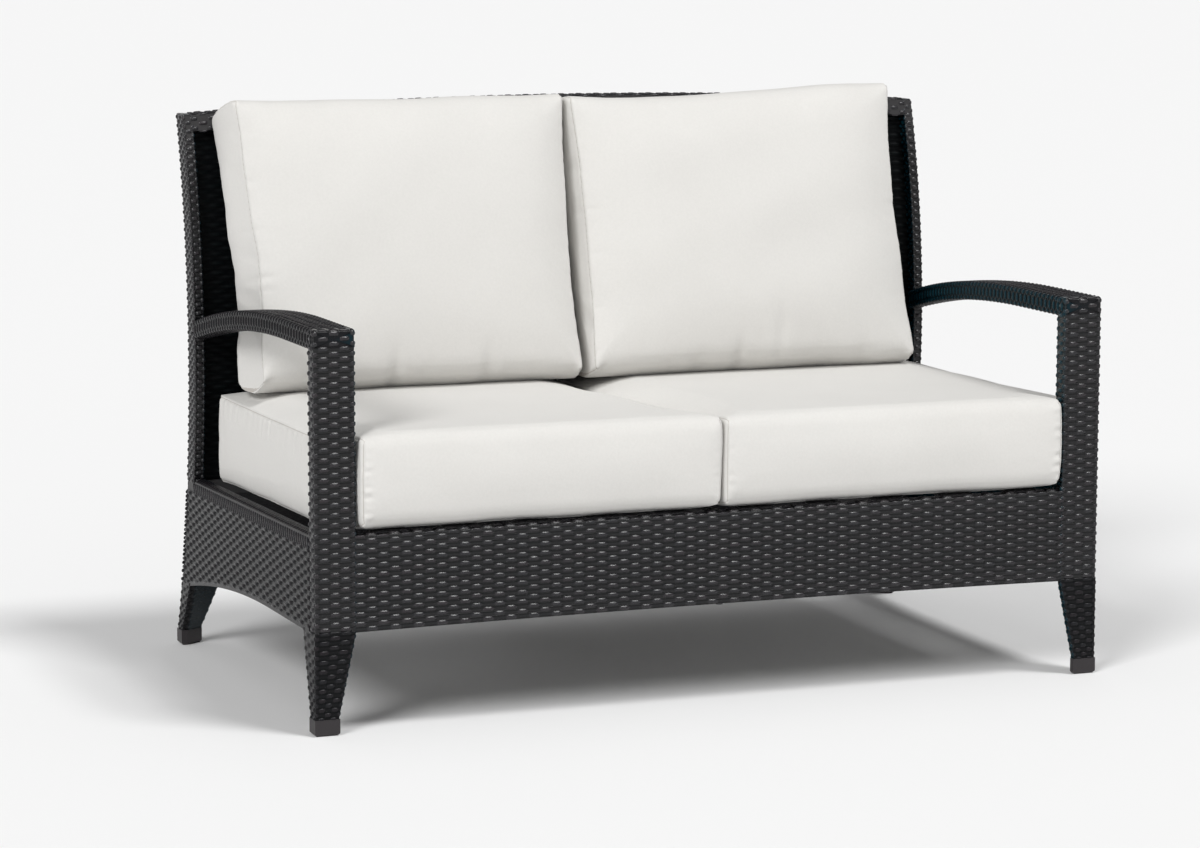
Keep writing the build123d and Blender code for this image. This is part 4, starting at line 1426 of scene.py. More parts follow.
@dataclass(frozen=True)
class Legs:
    """The tapered legs: woven on two outer faces and their edges, bare on the slant between."""

    top_width: float = 72.0
    low_width: float = 42.0
    low_depth: float = 30.0
    front_depth: float = 66.0
    rear_depth: float = 54.0
    edge: float = 12.0
    radius: float = 2.5
    weave: Weave = Weave(row=7.7, relief=2.8, proud=0.5)

    @staticmethod
    def top(front: bool) -> float:
        """Height where a leg meets its apron."""
        return FRAME.apron_bottom if front else FRAME.rear_bottom + FRAME.apron_arch

    def section(self, side: float, front: bool) -> Map:
        """Corners of a leg at each height, depths of a rear leg counted from the rear outline.

        Args:
            side: Minus one for the left, one for the right.
            front: Whether it is a front leg.

        Returns:
            The section.
        """
        f = FRAME
        top = self.top(front)
        deep = self.front_depth if front else self.rear_depth
        way = 1.0 if front else -1.0
        base = f.front_y if front else 0.0

        def corners(places: np.ndarray) -> np.ndarray:
            """Corners in anticlockwise order.

            Args:
                places: Stations along the path.

            Returns:
                Corners, stations by five by two.
            """
            share = (places - f.foot_height) / (top - f.foot_height)
            width = self.low_width + (self.top_width - self.low_width) * share
            depth = self.low_depth + (deep - self.low_depth) * share
            full = np.full_like(places, 1.0)
            outer = f.half_width
            rows = [
                (outer * full, base * full),
                (outer * full, base + way * depth),
                ((outer - self.edge) * full, base + way * depth),
                (outer - width, (base + way * self.edge) * full),
                (outer - width, base * full),
            ]
            pts = np.stack([np.stack([side * x, y], -1) for x, y in rows], 1)
            return pts if side * way > 0 else pts[:, ::-1]

        return corners

    def parts(self) -> list[WovenPart]:
        """The four woven legs.

        Returns:
            The pieces.
        """
        f = FRAME
        made = []
        for front, place in ((True, "front"), (False, "rear")):
            for name, side in SIDES.items():
                way = 1.0 if front else -1.0
                turned = side * way > 0
                faces = (3, 1, 3, 1, 4) if turned else (1, 3, 1, 3, 4)
                sweep = Sweep(
                    Path.Z, Lay.ROUND, self.weave, (self.radius,) * 5, f.foot_height - 0.5,
                    self.top(front), self.section(side, front), faces=faces,
                    warp=None if front else lean_back,
                    bare_edge=2 if turned else 1,
                )
                nodes = (f"{place}_leg_weave_{name}", f"{place}_leg_core_{name}")
                made.append(WovenPart(f"leg_{place}_{name}", nodes, sweep, Finish.DULL))
        return made


@dataclass(frozen=True)
class Hardware:
    """Parts that keep their CAD shape and only take a finish."""

    feet: tuple[str, ...] = ("foot_front_left", "foot_front_right", "foot_rear_left", "foot_rear_right")
    straps: tuple[str, ...] = ("seat_webbing_left", "seat_webbing_right")
    bolts: tuple[str, ...] = ("brace_bolt",)

    def dress(self, nodes: dict[str, Piece], wardrobe: Wardrobe) -> None:
        """Give every shown CAD node its material.

        Args:
            nodes: CAD nodes by name.
            wardrobe: The materials.
        """
        for name, node in nodes.items():
            if name in self.feet:
                material = wardrobe.foot
            elif name in self.straps:
                material = wardrobe.strap
            elif name in self.bolts:
                material = wardrobe.bolt
            else:
                material = wardrobe.tube
            dress(node, material)
        LOG.info("hardware: %d nodes dressed", len(nodes))


# ---- cushions ----


def rounded_outline(corners: np.ndarray, radius: float, spacing: float) -> np.ndarray:
    """Closed outline with rounded corners, concave ones too, sampled at even steps.

    Each corner is cut back by the radius along both edges, and a quadratic curve joins the cuts.

    Args:
        corners: Corners in order, one row each.
        radius: How far each corner is cut back.
        spacing: Distance between samples.

    Returns:
        Points round the outline.
    """
    before, after = np.roll(corners, 1, 0), np.roll(corners, -1, 0)
    run_in, run_out = before - corners, after - corners
    len_in = np.linalg.norm(run_in, axis=1, keepdims=True)
    len_out = np.linalg.norm(run_out, axis=1, keepdims=True)
    cut = np.minimum(radius, 0.45 * np.minimum(len_in, len_out))
    start, stop = corners + run_in / len_in * cut, corners + run_out / len_out * cut
    t = np.linspace(0.0, 1.0, 9)[None, :, None]
    arcs = (1 - t) ** 2 * start[:, None] + 2 * t * (1 - t) * corners[:, None] + t**2 * stop[:, None]
    loop = arcs.reshape(-1, 2)
    loop = np.concatenate([loop, loop[:1]])
    reach = np.append(0.0, np.cumsum(np.linalg.norm(np.diff(loop, axis=0), axis=1)))
    count = int(reach[-1] / spacing)
    places = np.arange(count) * reach[-1] / count
    return np.stack([np.interp(places, reach, loop[:, k]) for k in range(2)], 1)


def outline_normals(outline: np.ndarray) -> np.ndarray:
    """Unit vectors that point out of a closed outline, lightly smoothed round its corners.

    Args:
        outline: Points in order, one row each.

    Returns:
        The vectors, one row each.
    """
    along = np.roll(outline, -1, 0) - np.roll(outline, 1, 0)
    out = np.stack([along[:, 1], -along[:, 0]], 1)
    nxt = np.roll(outline, -1, 0)
    if (outline[:, 0] * nxt[:, 1] - nxt[:, 0] * outline[:, 1]).sum() < 0:
        out = -out
    for _ in range(2):
        out = out + 0.5 * (np.roll(out, 1, 0) + np.roll(out, -1, 0))
    return out / np.linalg.norm(out, axis=1, keepdims=True)


def ripple(points: np.ndarray, length: float, seed: int, count: int = 10) -> np.ndarray:
    """Smooth random field from a sum of plane waves of about one length, with unit spread.

    Args:
        points: Places in millimetres, one row each.
        length: Wave length in millimetres.
        seed: Random seed.
        count: Number of waves.

    Returns:
        One value for each point.
    """
    rng = np.random.default_rng(seed)
    size = points.shape[-1]
    ways = rng.normal(size=(count, size))
    ways *= (2 * math.pi / (length * rng.uniform(0.75, 1.4, count)) / np.linalg.norm(ways, axis=1))[:, None]
    return np.sin(points @ ways.T + rng.uniform(0, 2 * math.pi, count)).sum(-1) / math.sqrt(count / 2)


def line_distance(places: np.ndarray, line: np.ndarray) -> np.ndarray:
    """Distance of places from an open line of straight runs, both in the plan.

    Args:
        places: Points, one row each.
        line: Corners of the line, one row each.

    Returns:
        One distance for each point.
    """
    start, run = line[:-1], np.diff(line, axis=0)
    share = ((places[:, None] - start) * run).sum(-1) / (run**2).sum(-1)
    gap = places[:, None] - start - np.clip(share, 0.0, 1.0)[..., None] * run
    return np.linalg.norm(gap, axis=-1).min(1)


def read(mesh: bpy.types.Mesh, name: str = "co") -> np.ndarray:
    """Positions or normals of a mesh's points, one row each.

    Args:
        mesh: The mesh.
        name: Property of its points.

    Returns:
        One row for each point.
    """
    flat = np.empty(len(mesh.vertices) * 3, np.float32)
    mesh.vertices.foreach_get(name, flat)
    return flat.reshape(-1, 3).astype(float)


def write(mesh: bpy.types.Mesh, places: np.ndarray) -> None:
    """Set the positions of a mesh's points."""
    mesh.vertices.foreach_set("co", places.astype(np.float32).ravel())
    mesh.update()


def bake(piece: Piece) -> None:
    """Replace a piece's mesh with what its modifiers make of it.

    Args:
        piece: The piece.
    """
    bpy.context.view_layer.update()
    graph = bpy.context.evaluated_depsgraph_get()
    mesh = bpy.data.meshes.new_from_object(
        piece.evaluated_get(graph), preserve_all_data_layers=True, depsgraph=graph
    )
    old = piece.data
    piece.modifiers.clear()
    piece.data = mesh
    bpy.data.meshes.remove(old)
    mesh.name = piece.name


@dataclass(frozen=True)
class Axes:
    """Place of a cushion: its origin, and rows for the ways of its width, length and rise."""

    origin: np.ndarray
    basis: np.ndarray

    def to_row(self, local: np.ndarray) -> np.ndarray:
        """Places in the row frame."""
        return self.origin + local @ self.basis

    def to_local(self, places: np.ndarray) -> np.ndarray:
        """Places in the cushion's own axes."""
        return (places - self.origin) @ self.basis.T


@dataclass(frozen=True)
class Filling:
    """How a cover is filled: cloth under pressure, on small even faces, for a few frames."""

    voxel: float = 6.0
    cap: float = 6.5
    share: float = 0.98
    frames: int = 14
    quality: int = 3
    mass: float = 0.2
    stretch: float = 18.0
    shear: float = 6.0
    bend: float = 0.15
    pressure: float = 4.0


@dataclass(frozen=True)
class Seam:
    """Profile of a sewn edge: a lip on the panel's side and a crease, each by height, place and width."""

    lip: tuple[float, float, float] = (0.8, 3.5, 2.4)
    crease: tuple[float, float, float] = (-1.5, -0.4, 1.8)
    far: float = 50.0

    def shift(self, seam: np.ndarray) -> np.ndarray:
        """Movement along the normal: height times exp(-((seam - place) / width)^2), summed."""
        return sum(high * np.exp(-(((seam - at) / wide) ** 2)) for high, at, wide in (self.lip, self.crease))


@dataclass
class Cushion:
    """A filled cover in its own axes of width, length and rise: a wrapped panel and two gussets."""

    name: str
    node: str
    core: str
    body: str
    axes: Axes
    corners: np.ndarray
    corner_radius: float
    low: Field
    high: Field
    rise: Field
    low_crown: float
    high_crown: float
    low_round: Map
    high_round: Map
    bulge: Map
    seam: Map
    detail: Field
    limit: Field
    seed: int
    fill: float = 0.8
    swell: float = 1.0
    wave: float = 0.7
    wave_length: float = 170.0
    spacing: float = 6.0
    filling: Filling = Filling()
    edge: Seam = Seam()

    def base(self) -> Piece:
        """The cushion before it is filled, a little smaller than its solid.

        The outline is scaled about its middle for the panels and kept for the sides. A panel rises
        by its crown times the rise, an edge turns by a quarter circle, and a side swells by its
        bulge times sin(pi t).

        Returns:
            The form, closed.
        """
        outline = rounded_outline(self.corners, self.corner_radius, self.spacing)
        normals = outline_normals(outline)
        middle = outline.mean(0)
        sweep = np.linspace(0.02, 1.0, 60)
        turn = np.linspace(0.0, math.pi / 2, 9)[1:-1]
        side = np.linspace(0.0, 1.0, 20)
        runs = (sweep, turn, side, turn, sweep[::-1])
        zone = np.concatenate([np.full(len(run), k) for k, run in enumerate(runs)])[:, None]
        value = np.concatenate([0 * sweep, turn, side, turn, 0 * sweep])[:, None]
        size = np.concatenate([sweep, np.ones(len(turn) * 2 + len(side)), sweep[::-1]])[:, None]
        low_round, high_round = self.low_round(normals)[None], self.high_round(normals)[None]
        inset = np.where(zone == 0, low_round, 0.0) + np.where(zone == 4, high_round, 0.0)
        inset = inset + np.where(zone == 1, low_round * (1 - np.sin(value)), 0.0)
        inset = inset + np.where(zone == 3, high_round * (1 - np.cos(value)), 0.0)
        bulge = np.where(zone == 2, np.sin(np.pi * value), 0.0) * self.bulge(normals)[None]
        rim = outline[None] - (inset - bulge + self.swell)[..., None] * normals[None]
        plan = middle + (rim - middle) * size[..., None]
        a, b = plan[..., 0], plan[..., 1]
        low, high, rise = self.low(a, b), self.high(a, b) - self.swell, self.rise(a, b)
        bottom, top = low + low_round, high - high_round
        level = np.where(zone == 0, low - self.low_crown * rise, 0.0)
        level = np.where(zone == 1, low - self.low_crown * rise + low_round * (1 - np.cos(value)), level)
        level = np.where(zone == 2, bottom + value * (top - bottom), level)
        level = np.where(zone == 3, top + self.high_crown * rise + high_round * np.sin(value), level)
        level = np.where(zone == 4, high + self.high_crown * rise, level)
        local = np.stack([a, b, level], -1)
        uv = np.zeros((local.shape[0], local.shape[1] + 1, 2))
        return shell(self.name, self.axes.to_row(local) * MM, uv, {})

    def remesh(self, piece: Piece) -> None:
        """Cover the form with even small faces and note where each point rests.

        Args:
            piece: The form.
        """
        modifier = piece.modifiers.new("remesh", "REMESH")
        modifier.mode, modifier.voxel_size = "VOXEL", self.filling.voxel * MM
        bake(piece)
        rest = self.axes.to_local(read(piece.data) / MM)
        attribute = piece.data.attributes.new("rest", "FLOAT_VECTOR", "POINT")
        attribute.data.foreach_set("vector", rest.astype(np.float32).ravel())

    def inflate(self, piece: Piece) -> None:
        """Fill the cover: cloth under pressure, scaled down so that hardly a point would pass the cap.

        Args:
            piece: The form on its even mesh.
        """
        how, rest, scene = self.filling, read(piece.data), bpy.context.scene
        cloth = piece.modifiers.new("cloth", "CLOTH")
        settings = cloth.settings
        settings.quality, settings.mass = how.quality, how.mass
        settings.tension_stiffness = settings.compression_stiffness = how.stretch
        settings.shear_stiffness, settings.bending_stiffness = how.shear, how.bend
        settings.use_pressure, settings.uniform_pressure_force = True, how.pressure
        settings.effector_weights.gravity = 0.0
        cloth.point_cache.frame_start, cloth.point_cache.frame_end = 1, how.frames
        for frame in range(1, how.frames + 1):
            scene.frame_set(frame)
        graph = bpy.context.evaluated_depsgraph_get()
        shift = read(piece.evaluated_get(graph).data) - rest
        piece.modifiers.clear()
        scene.frame_set(1)
        cap = how.cap * MM
        shift = shift * min(1.0, cap / np.quantile(np.linalg.norm(shift, axis=1), how.share))
        reach = np.maximum(np.linalg.norm(shift, axis=1, keepdims=True), 1e-9)
        write(piece.data, rest + shift * np.minimum(1.0, cap / reach))

    def sew(self, piece: Piece) -> None:
        """Add the seams, puckers and dents to the finer mesh and keep it clear of its neighbours.

        A seam is a crease with a lip on the panel's side of it. Every move is along the normal.

        Args:
            piece: The filled cover.
        """
        modifier = piece.modifiers.new("finer", "SUBSURF")
        modifier.levels = modifier.render_levels = 1
        bake(piece)
        mesh = piece.data
        flat = np.empty(len(mesh.vertices) * 3, np.float32)
        mesh.attributes["rest"].data.foreach_get("vector", flat)
        rest = flat.reshape(-1, 3).astype(float)
        mesh.attributes.remove(mesh.attributes["rest"])
        seam = self.seam(rest)
        shift = self.edge.shift(seam) + self.detail(rest, seam)
        shift = shift + self.wave * ripple(rest, self.wave_length, self.seed)
        local = self.axes.to_local(read(mesh) / MM + read(mesh, "normal") * shift[:, None])
        write(mesh, self.axes.to_row(self.limit(local, rest)) * MM)
        attribute = mesh.attributes.new("seam", "FLOAT", "POINT")
        attribute.data.foreach_set("value", np.clip(seam, -self.edge.far, self.edge.far).astype(np.float32))
        mesh.shade_smooth()

    def build(self, wardrobe: Wardrobe) -> Piece:
        """Make, dress and mount the cushion.

        Args:
            wardrobe: The materials.

        Returns:
            The finished piece.
        """
        piece = self.base()
        self.remesh(piece)
        self.inflate(piece)
        self.sew(piece)
        dress(piece, wardrobe.cloth)
        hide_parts(self.node, self.core)
        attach(piece, self.body)
        LOG.info("%s: %d faces", self.name, len(piece.data.polygons))
        return piece


def toward(normals: np.ndarray, axis: int, way: float) -> np.ndarray:
    """How far an outline's normals point one way, from 0 to 1."""
    return np.clip(way * normals[:, axis], 0.0, 1.0) ** 2


def rounding(plain: float, front: float = 0.0, rear: float = 0.0) -> Map:
    """Size of an edge by its way out: plain, and more where it looks forwards, down, back or up."""
    return lambda normals: plain + rear * toward(normals, 1, 1.0) + front * toward(normals, 1, -1.0)


@dataclass(frozen=True)
class SeatCushions:
    """The two seat cushions, notched round the front posts, with a slanted seam between them."""

    reach: float = 665.0
    depth: float = 677.0
    overhang: float = 12.0
    notch_x: float = 624.5
    notch_y: float = 46.0
    boxing: float = 143.0
    boxing_rear: float = 152.5
    lift: float = 13.0
    lift_run: float = 90.0
    crown: float = 19.0
    gap: float = 1.5
    rest: float = 0.4
    top: float = 483.6
    toe: float = 10.0
    toe_run: float = 42.0
    side_bulge: float = 2.0
    corner: float = 12.0
    low_round: tuple[float, float] = (9.0, 13.0)
    high_round: tuple[float, float] = (5.0, 13.0)
    puckers: tuple[float, float, float] = (0.75, 0.55, 0.12)
    seeds: tuple[int, int] = (11, 23)
    split: tuple[tuple[float, float], ...] = (
        (0.0, -12.0), (0.0, 90.0), (-5.5, 150.0), (-23.0, 299.0), (-42.0, 420.0), (-46.0, 470.0),
        (-46.0, 665.0),
    )

    @property
    def near(self) -> float:
        """Y of the front face."""
        return FRAME.front_y - self.overhang

    def parting(self, b: np.ndarray) -> np.ndarray:
        """X of the line between the cushions at y."""
        line = np.array(self.split)
        return np.interp(b - FRAME.front_y, line[:, 1], line[:, 0])

    def under(self, b: np.ndarray) -> np.ndarray:
        """Height of what the cushion rests on."""
        return FRAME.seat_z(b) + self.rest

    def low(self, a: np.ndarray, b: np.ndarray) -> np.ndarray:
        """Height of the underside: it rises a little along the front edge."""
        return self.under(b) + self.toe * np.exp(-(((b - self.near) / self.toe_run) ** 2))

    def high(self, a: np.ndarray, b: np.ndarray) -> np.ndarray:
        """Height of the upper edge: fuller along the front.

        Args:
            a: Places across.
            b: Places along.

        Returns:
            Heights.
        """
        run = (b - self.near) / self.depth
        boxing = self.boxing + (self.boxing_rear - self.boxing) * run
        return self.under(b) + boxing + self.lift * np.exp(-(((b - self.near) / self.lift_run) ** 2))

    def lines(self, side: float) -> tuple[np.ndarray, np.ndarray]:
        """Plan lines of the inner and outer gussets, from the front to the rear.

        Args:
            side: Minus one for the left, one for the right.

        Returns:
            The inner and the outer line, one row for each corner.
        """
        y, far = FRAME.front_y, self.near + self.depth
        inner = np.array([(x + side * self.gap, y + depth) for x, depth in self.split])
        outer = [
            (side * self.notch_x, self.near),
            (side * self.notch_x, y + self.notch_y),
            (side * self.reach, y + self.notch_y),
            (side * self.reach, far),
        ]
        return inner, np.array(outer)

    def rise(self, side: float) -> Field:
        """Share of the crown over the plan: it eases off towards each edge and round the notch.

        Args:
            side: Minus one for the left, one for the right.

        Returns:
            The field.
        """

        def share(a: np.ndarray, b: np.ndarray) -> np.ndarray:
            """Product of one factor for each edge.

            Args:
                a: Places across.
                b: Places along.

            Returns:
                Shares of the crown.
            """
            y = FRAME.front_y
            notch = np.hypot(np.maximum(self.notch_x - side * a, 0), np.maximum(b - y - self.notch_y, 0))
            gaps = [
                (b - self.near, 50.0), (self.near + self.depth - b, 60.0), (self.reach - side * a, 45.0),
                (side * (a - self.parting(b)), 45.0), (notch, 30.0),
            ]
            total = np.ones(np.shape(a))
            for distance, ease_off in gaps:
                total = total * (1 - np.exp(-np.maximum(distance, 0.0) / ease_off))
            return total

        return share

    def seam(self, side: float) -> Map:
        """Distance to the nearest gusset seam, below zero on the gusset.

        Args:
            side: Minus one for the left, one for the right.

        Returns:
            The distance as a function of the points.
        """
        inner, outer = self.lines(side)

        def signed(local: np.ndarray) -> np.ndarray:
            """Distance from the gusset's plane less the depth inside its outline.

            Args:
                local: Points in the cushion's own axes, one row each.

            Returns:
                Signed distances.
            """
            a, b, level = local.T
            sideways = np.minimum(line_distance(local[:, :2], inner), line_distance(local[:, :2], outer))
            ends = np.minimum(b - self.near, self.near + self.depth - b)
            inside = np.minimum(np.minimum(level - self.low(a, b), self.high(a, b) - level), ends)
            return sideways - np.maximum(inside, 0.0)

        return signed

    def detail(self, side: float, seed: int) -> Field:
        """Puckers: a ladder beside the front seams, folds below the outer top seam.

        Args:
            side: Minus one for the left, one for the right.
            seed: Random seed.

        Returns:
            The movement as a function of the points and the seam's distance.
        """

        def shift(local: np.ndarray, seam: np.ndarray) -> np.ndarray:
            """Movement along the normal.

            Args:
                local: Points in the cushion's own axes, one row each.
                seam: Signed distance to the seam.

            Returns:
                Movements, outwards above zero.
            """
            a, b, level = local.T
            outer = side * a > self.notch_x - 120.0
            front = np.exp(-np.maximum(b - self.near, 0.0) / 9.0)
            ladder = ripple(level[:, None], 17.0, seed, 5) * front * np.exp(-(((seam - 9.0) / 9.0) ** 2))
            drop = self.high(a, b) - level
            below = glide(drop / 6.0) * np.exp(-np.maximum(drop, 0.0) / 34.0) * (seam < 0)
            folds = ripple(b[:, None] + 0.2 * drop[:, None], 21.0, seed + 1, 6) * below
            beside = ripple(b[:, None], 30.0, seed + 2, 6) * np.exp(-np.abs(seam) / 12.0) * (1 - front)
            first, second, third = self.puckers
            return first * ladder * np.where(outer, 1.0, 0.3) + second * folds * outer + third * beside

        return shift

    def limit(self, side: float) -> Field:
        """Keep a cushion on the seat, out of the posts, off its neighbour and below the back cushions.

        Args:
            side: Minus one for the left, one for the right.

        Returns:
            The limit as a function of the points and their rest.
        """

        def clear(local: np.ndarray, rest: np.ndarray) -> np.ndarray:
            """The points, pressed back where they would touch.

            Args:
                local: Points in the cushion's own axes, one row each.
                rest: Where each point lay before the cover was filled.

            Returns:
                The points that are kept clear.
            """
            a, b, level = local.T
            y = FRAME.front_y
            across = side * a
            at_notch = rest[:, 1] < y + self.notch_y - 1.0
            across = np.where(at_notch, np.minimum(across, self.notch_x + 2.0), across)
            across = np.minimum(np.maximum(across, side * self.parting(b) + 0.4), self.reach + 2.0)
            beyond = (rest[:, 0] * side > self.notch_x + 1.0) & (rest[:, 1] < y + 200.0)
            b = np.where(beyond, np.maximum(b, y + self.notch_y - 3.0), b)
            b = np.minimum(b, self.near + self.depth + 2.0)
            return np.stack([side * across, b, np.clip(level, self.under(b), self.top)], 1)

        return clear

    def cushions(self) -> list[Cushion]:
        """Both cushions.

        Returns:
            The left and the right one.
        """
        made = []
        for (name, side), seed in zip(SIDES.items(), self.seeds):
            inner, outer = self.lines(side)
            made.append(
                Cushion(
                    name=f"seat_pad_{name}", node=f"seat_cushion_{name}", core=f"seat_core_{name}",
                    body=f"seat_cushion_{name}", axes=Axes(np.zeros(3), np.eye(3)),
                    corners=np.concatenate([inner, outer[::-1]]), corner_radius=self.corner,
                    low=self.low, high=self.high, rise=self.rise(side), low_crown=0.0, high_crown=self.crown,
                    low_round=rounding(*self.low_round), high_round=rounding(*self.high_round),
                    bulge=rounding(self.side_bulge),
                    seam=self.seam(side), detail=self.detail(side, seed), limit=self.limit(side), seed=seed,
                )
            )
        return made


@dataclass(frozen=True)
class Dent:
    """A soft hollow in a cushion's front: its place, half sizes and depth in millimetres."""

    a: float
    b: float
    wide: float
    tall: float
    deep: float


@dataclass(frozen=True)
class BackCushions:
    """The two back cushions, which stand on the seat and lean on the top rail."""

    width: float = 594.0
    height: float = 462.0
    thickness: float = 150.0
    tilt: float = 16.2
    stand: float = 604.7
    lift: float = 0.15
    starts: tuple[float, float] = (-643.0, -43.0)
    belly: float = 14.0
    sag: float = 0.22
    top_bulge: float = 5.0
    side_bulge: float = 7.5
    draw: float = 7.0
    corner: float = 7.0
    crowns: tuple[float, float] = (6.0, 37.0)
    low_round: tuple[float, float, float] = (6.0, 10.0, 4.0)
    high_round: tuple[float, float, float] = (6.0, 20.0, 12.0)
    parting: tuple[float, float] = (-46.4, -45.6)
    arm_gap: float = 2.5
    arm_top: float = 260.0
    far: float = 900.0
    seeds: tuple[int, int] = (37, 44)
    heights: tuple[float, ...] = (-40.0, 60.0, 110.0, 200.0, 250.0, 340.0, 400.0, 470.0)
    spread: tuple[tuple[tuple[float, ...], tuple[float, ...]], ...] = (
        (
            (-6.0, -6.0, 0.0, 0.0, -7.0, -11.0, -8.0, -9.0),
            (-13.0, -13.0, -12.0, -10.0, -9.0, -5.0, -2.0, 0.0),
        ),
        (
            (-4.0, -4.0, -4.0, -3.0, -2.0, 0.0, 0.0, 0.0),
            (27.0, 27.0, 27.0, 26.0, 27.0, 28.0, 30.0, 33.0),
        ),
    )
    crest: tuple[tuple[float, float], ...] = ((11.0, 11.0), (5.0, 19.0))
    dents: tuple[tuple[Dent, ...], tuple[Dent, ...]] = (
        (
            Dent(238.0, 14.0, 12.0, 34.0, 3.6), Dent(409.0, 20.0, 14.0, 30.0, 2.8),
            Dent(12.0, 322.0, 16.0, 5.0, 0.8), Dent(11.0, 243.0, 14.0, 5.0, 0.7),
            Dent(14.0, 164.0, 18.0, 5.0, 1.4), Dent(16.0, 143.0, 15.0, 5.0, 1.1),
            Dent(582.0, 150.0, 14.0, 6.0, 1.0),
        ),
        (
            Dent(275.0, 10.0, 13.0, 30.0, 3.2), Dent(350.0, 46.0, 12.0, 36.0, 2.6),
            Dent(200.0, 6.0, 16.0, 22.0, 1.6), Dent(500.0, 12.0, 18.0, 26.0, 1.6),
            Dent(14.0, 260.0, 16.0, 5.0, 0.9), Dent(14.0, 184.0, 16.0, 5.0, 0.9),
            Dent(15.0, 95.0, 16.0, 5.0, 1.0), Dent(584.0, 250.0, 16.0, 6.0, 0.9),
        ),
    )

    def axes(self, start: float) -> Axes:
        """Axes of a cushion: across, up its front, and out towards the sitter.

        Args:
            start: X of the cushion's left edge.

        Returns:
            The axes.
        """
        angle = math.radians(self.tilt)
        seat = max(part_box(f"seat_cushion_{name}")[1].z for name in SIDES) / MM
        s, c = math.sin(angle), math.cos(angle)
        origin = np.array([start, FRAME.front_y + self.stand, seat + self.lift])
        return Axes(origin, np.array([(1.0, 0.0, 0.0), (0.0, s, c), (0.0, -c, s)]))

    def swelling(self, normals: np.ndarray) -> np.ndarray:
        """Bulge of the sides: a belly under the cushion, less on top and at the sides.

        Args:
            normals: The outline's ways out.

        Returns:
            Bulges.
        """
        side = self.side_bulge
        return rounding(side, self.belly - side, self.top_bulge - side)(normals)

    def corners(self) -> np.ndarray:
        """Corners of the front with the edges drawn in between them.

        Returns:
            Corners, one row each.
        """
        w, h, d = self.width, self.height, self.draw
        return np.array(
            [
                (0.0, 0.0), (w / 4, d * 0.5), (w / 2, d * 0.6), (3 * w / 4, d * 0.5), (w, 0.0),
                (w - 0.8 * d, h / 4), (w - d, h / 2), (w - 0.8 * d, 3 * h / 4), (w, h),
                (3 * w / 4, h - 0.4 * d), (w / 2, h - 0.5 * d), (w / 4, h - 0.4 * d), (0.0, h),
                (0.8 * d, 3 * h / 4), (d, h / 2), (0.8 * d, h / 4),
            ]
        )

    def rise(self, a: np.ndarray, b: np.ndarray) -> np.ndarray:
        """Share of the crown over the front: slow from the bottom, quicker from the other edges.

        Args:
            a: Places across.
            b: Places along.

        Returns:
            Shares of the crown.
        """
        total = np.ones(np.shape(a))
        for distance, ease_off in ((a, 66.0), (self.width - a, 66.0), (b, 70.0), (self.height - b, 50.0)):
            total = total * (1 - np.exp(-np.maximum(distance, 0.0) / ease_off))
        return total

    def seam(self, local: np.ndarray) -> np.ndarray:
        """Distance to the nearest gusset seam, below zero on the gusset.

        Args:
            local: Points in the cushion's own axes, one row each.

        Returns:
            Signed distances.
        """
        a, b, level = local.T
        drawn = self.draw * (1 - (2 * b / self.height - 1) ** 2)
        sideways = np.minimum(a, self.width - a) - drawn
        inside = np.minimum(np.minimum(level, self.thickness - level), np.minimum(b, self.height - b))
        return np.maximum(sideways, 0.0) - np.maximum(inside, 0.0)

    def detail(self, which: int) -> Field:
        """Dents in the front and folds across the gussets.

        Args:
            which: 0 for the left, 1 for the right.

        Returns:
            The movement as a function of the points and the seam's distance.
        """

        def shift(local: np.ndarray, seam: np.ndarray) -> np.ndarray:
            """Movement along the normal.

            Args:
                local: Points in the cushion's own axes, one row each.
                seam: Signed distance to the seam.

            Returns:
                Movements, outwards above zero.
            """
            a, b, level = local.T
            front = glide((level - 60.0) / 60.0)
            total = 0.15 * ripple(b[:, None], 34.0, 5 + which, 6) * np.exp(-np.abs(seam) / 12.0)
            for dent in self.dents[which]:
                reach = ((a - dent.a) / dent.wide) ** 2 + ((b - dent.b) / dent.tall) ** 2
                total = total - dent.deep * np.exp(-reach) * front
            folds = ripple(np.stack([b + 0.35 * level, 0.3 * level], 1), 46.0, 9 + which, 6)
            low = np.exp(-(((b - 120.0) / 90.0) ** 2))
            return total + (0.3 + 0.9 * low) * np.minimum(folds, 0.4) * glide(-seam / 12.0)

        return shift

    def limit(self, which: int, axes: Axes) -> Field:
        """Spread the outer side, then keep a cushion above the seat, clear of the arms and off its neighbour.

        Args:
            which: 0 for the left, 1 for the right.
            axes: The cushion's axes.

        Returns:
            The limit as a function of the points and their rest.
        """
        start, (left, right) = self.starts[which], self.crest[which]

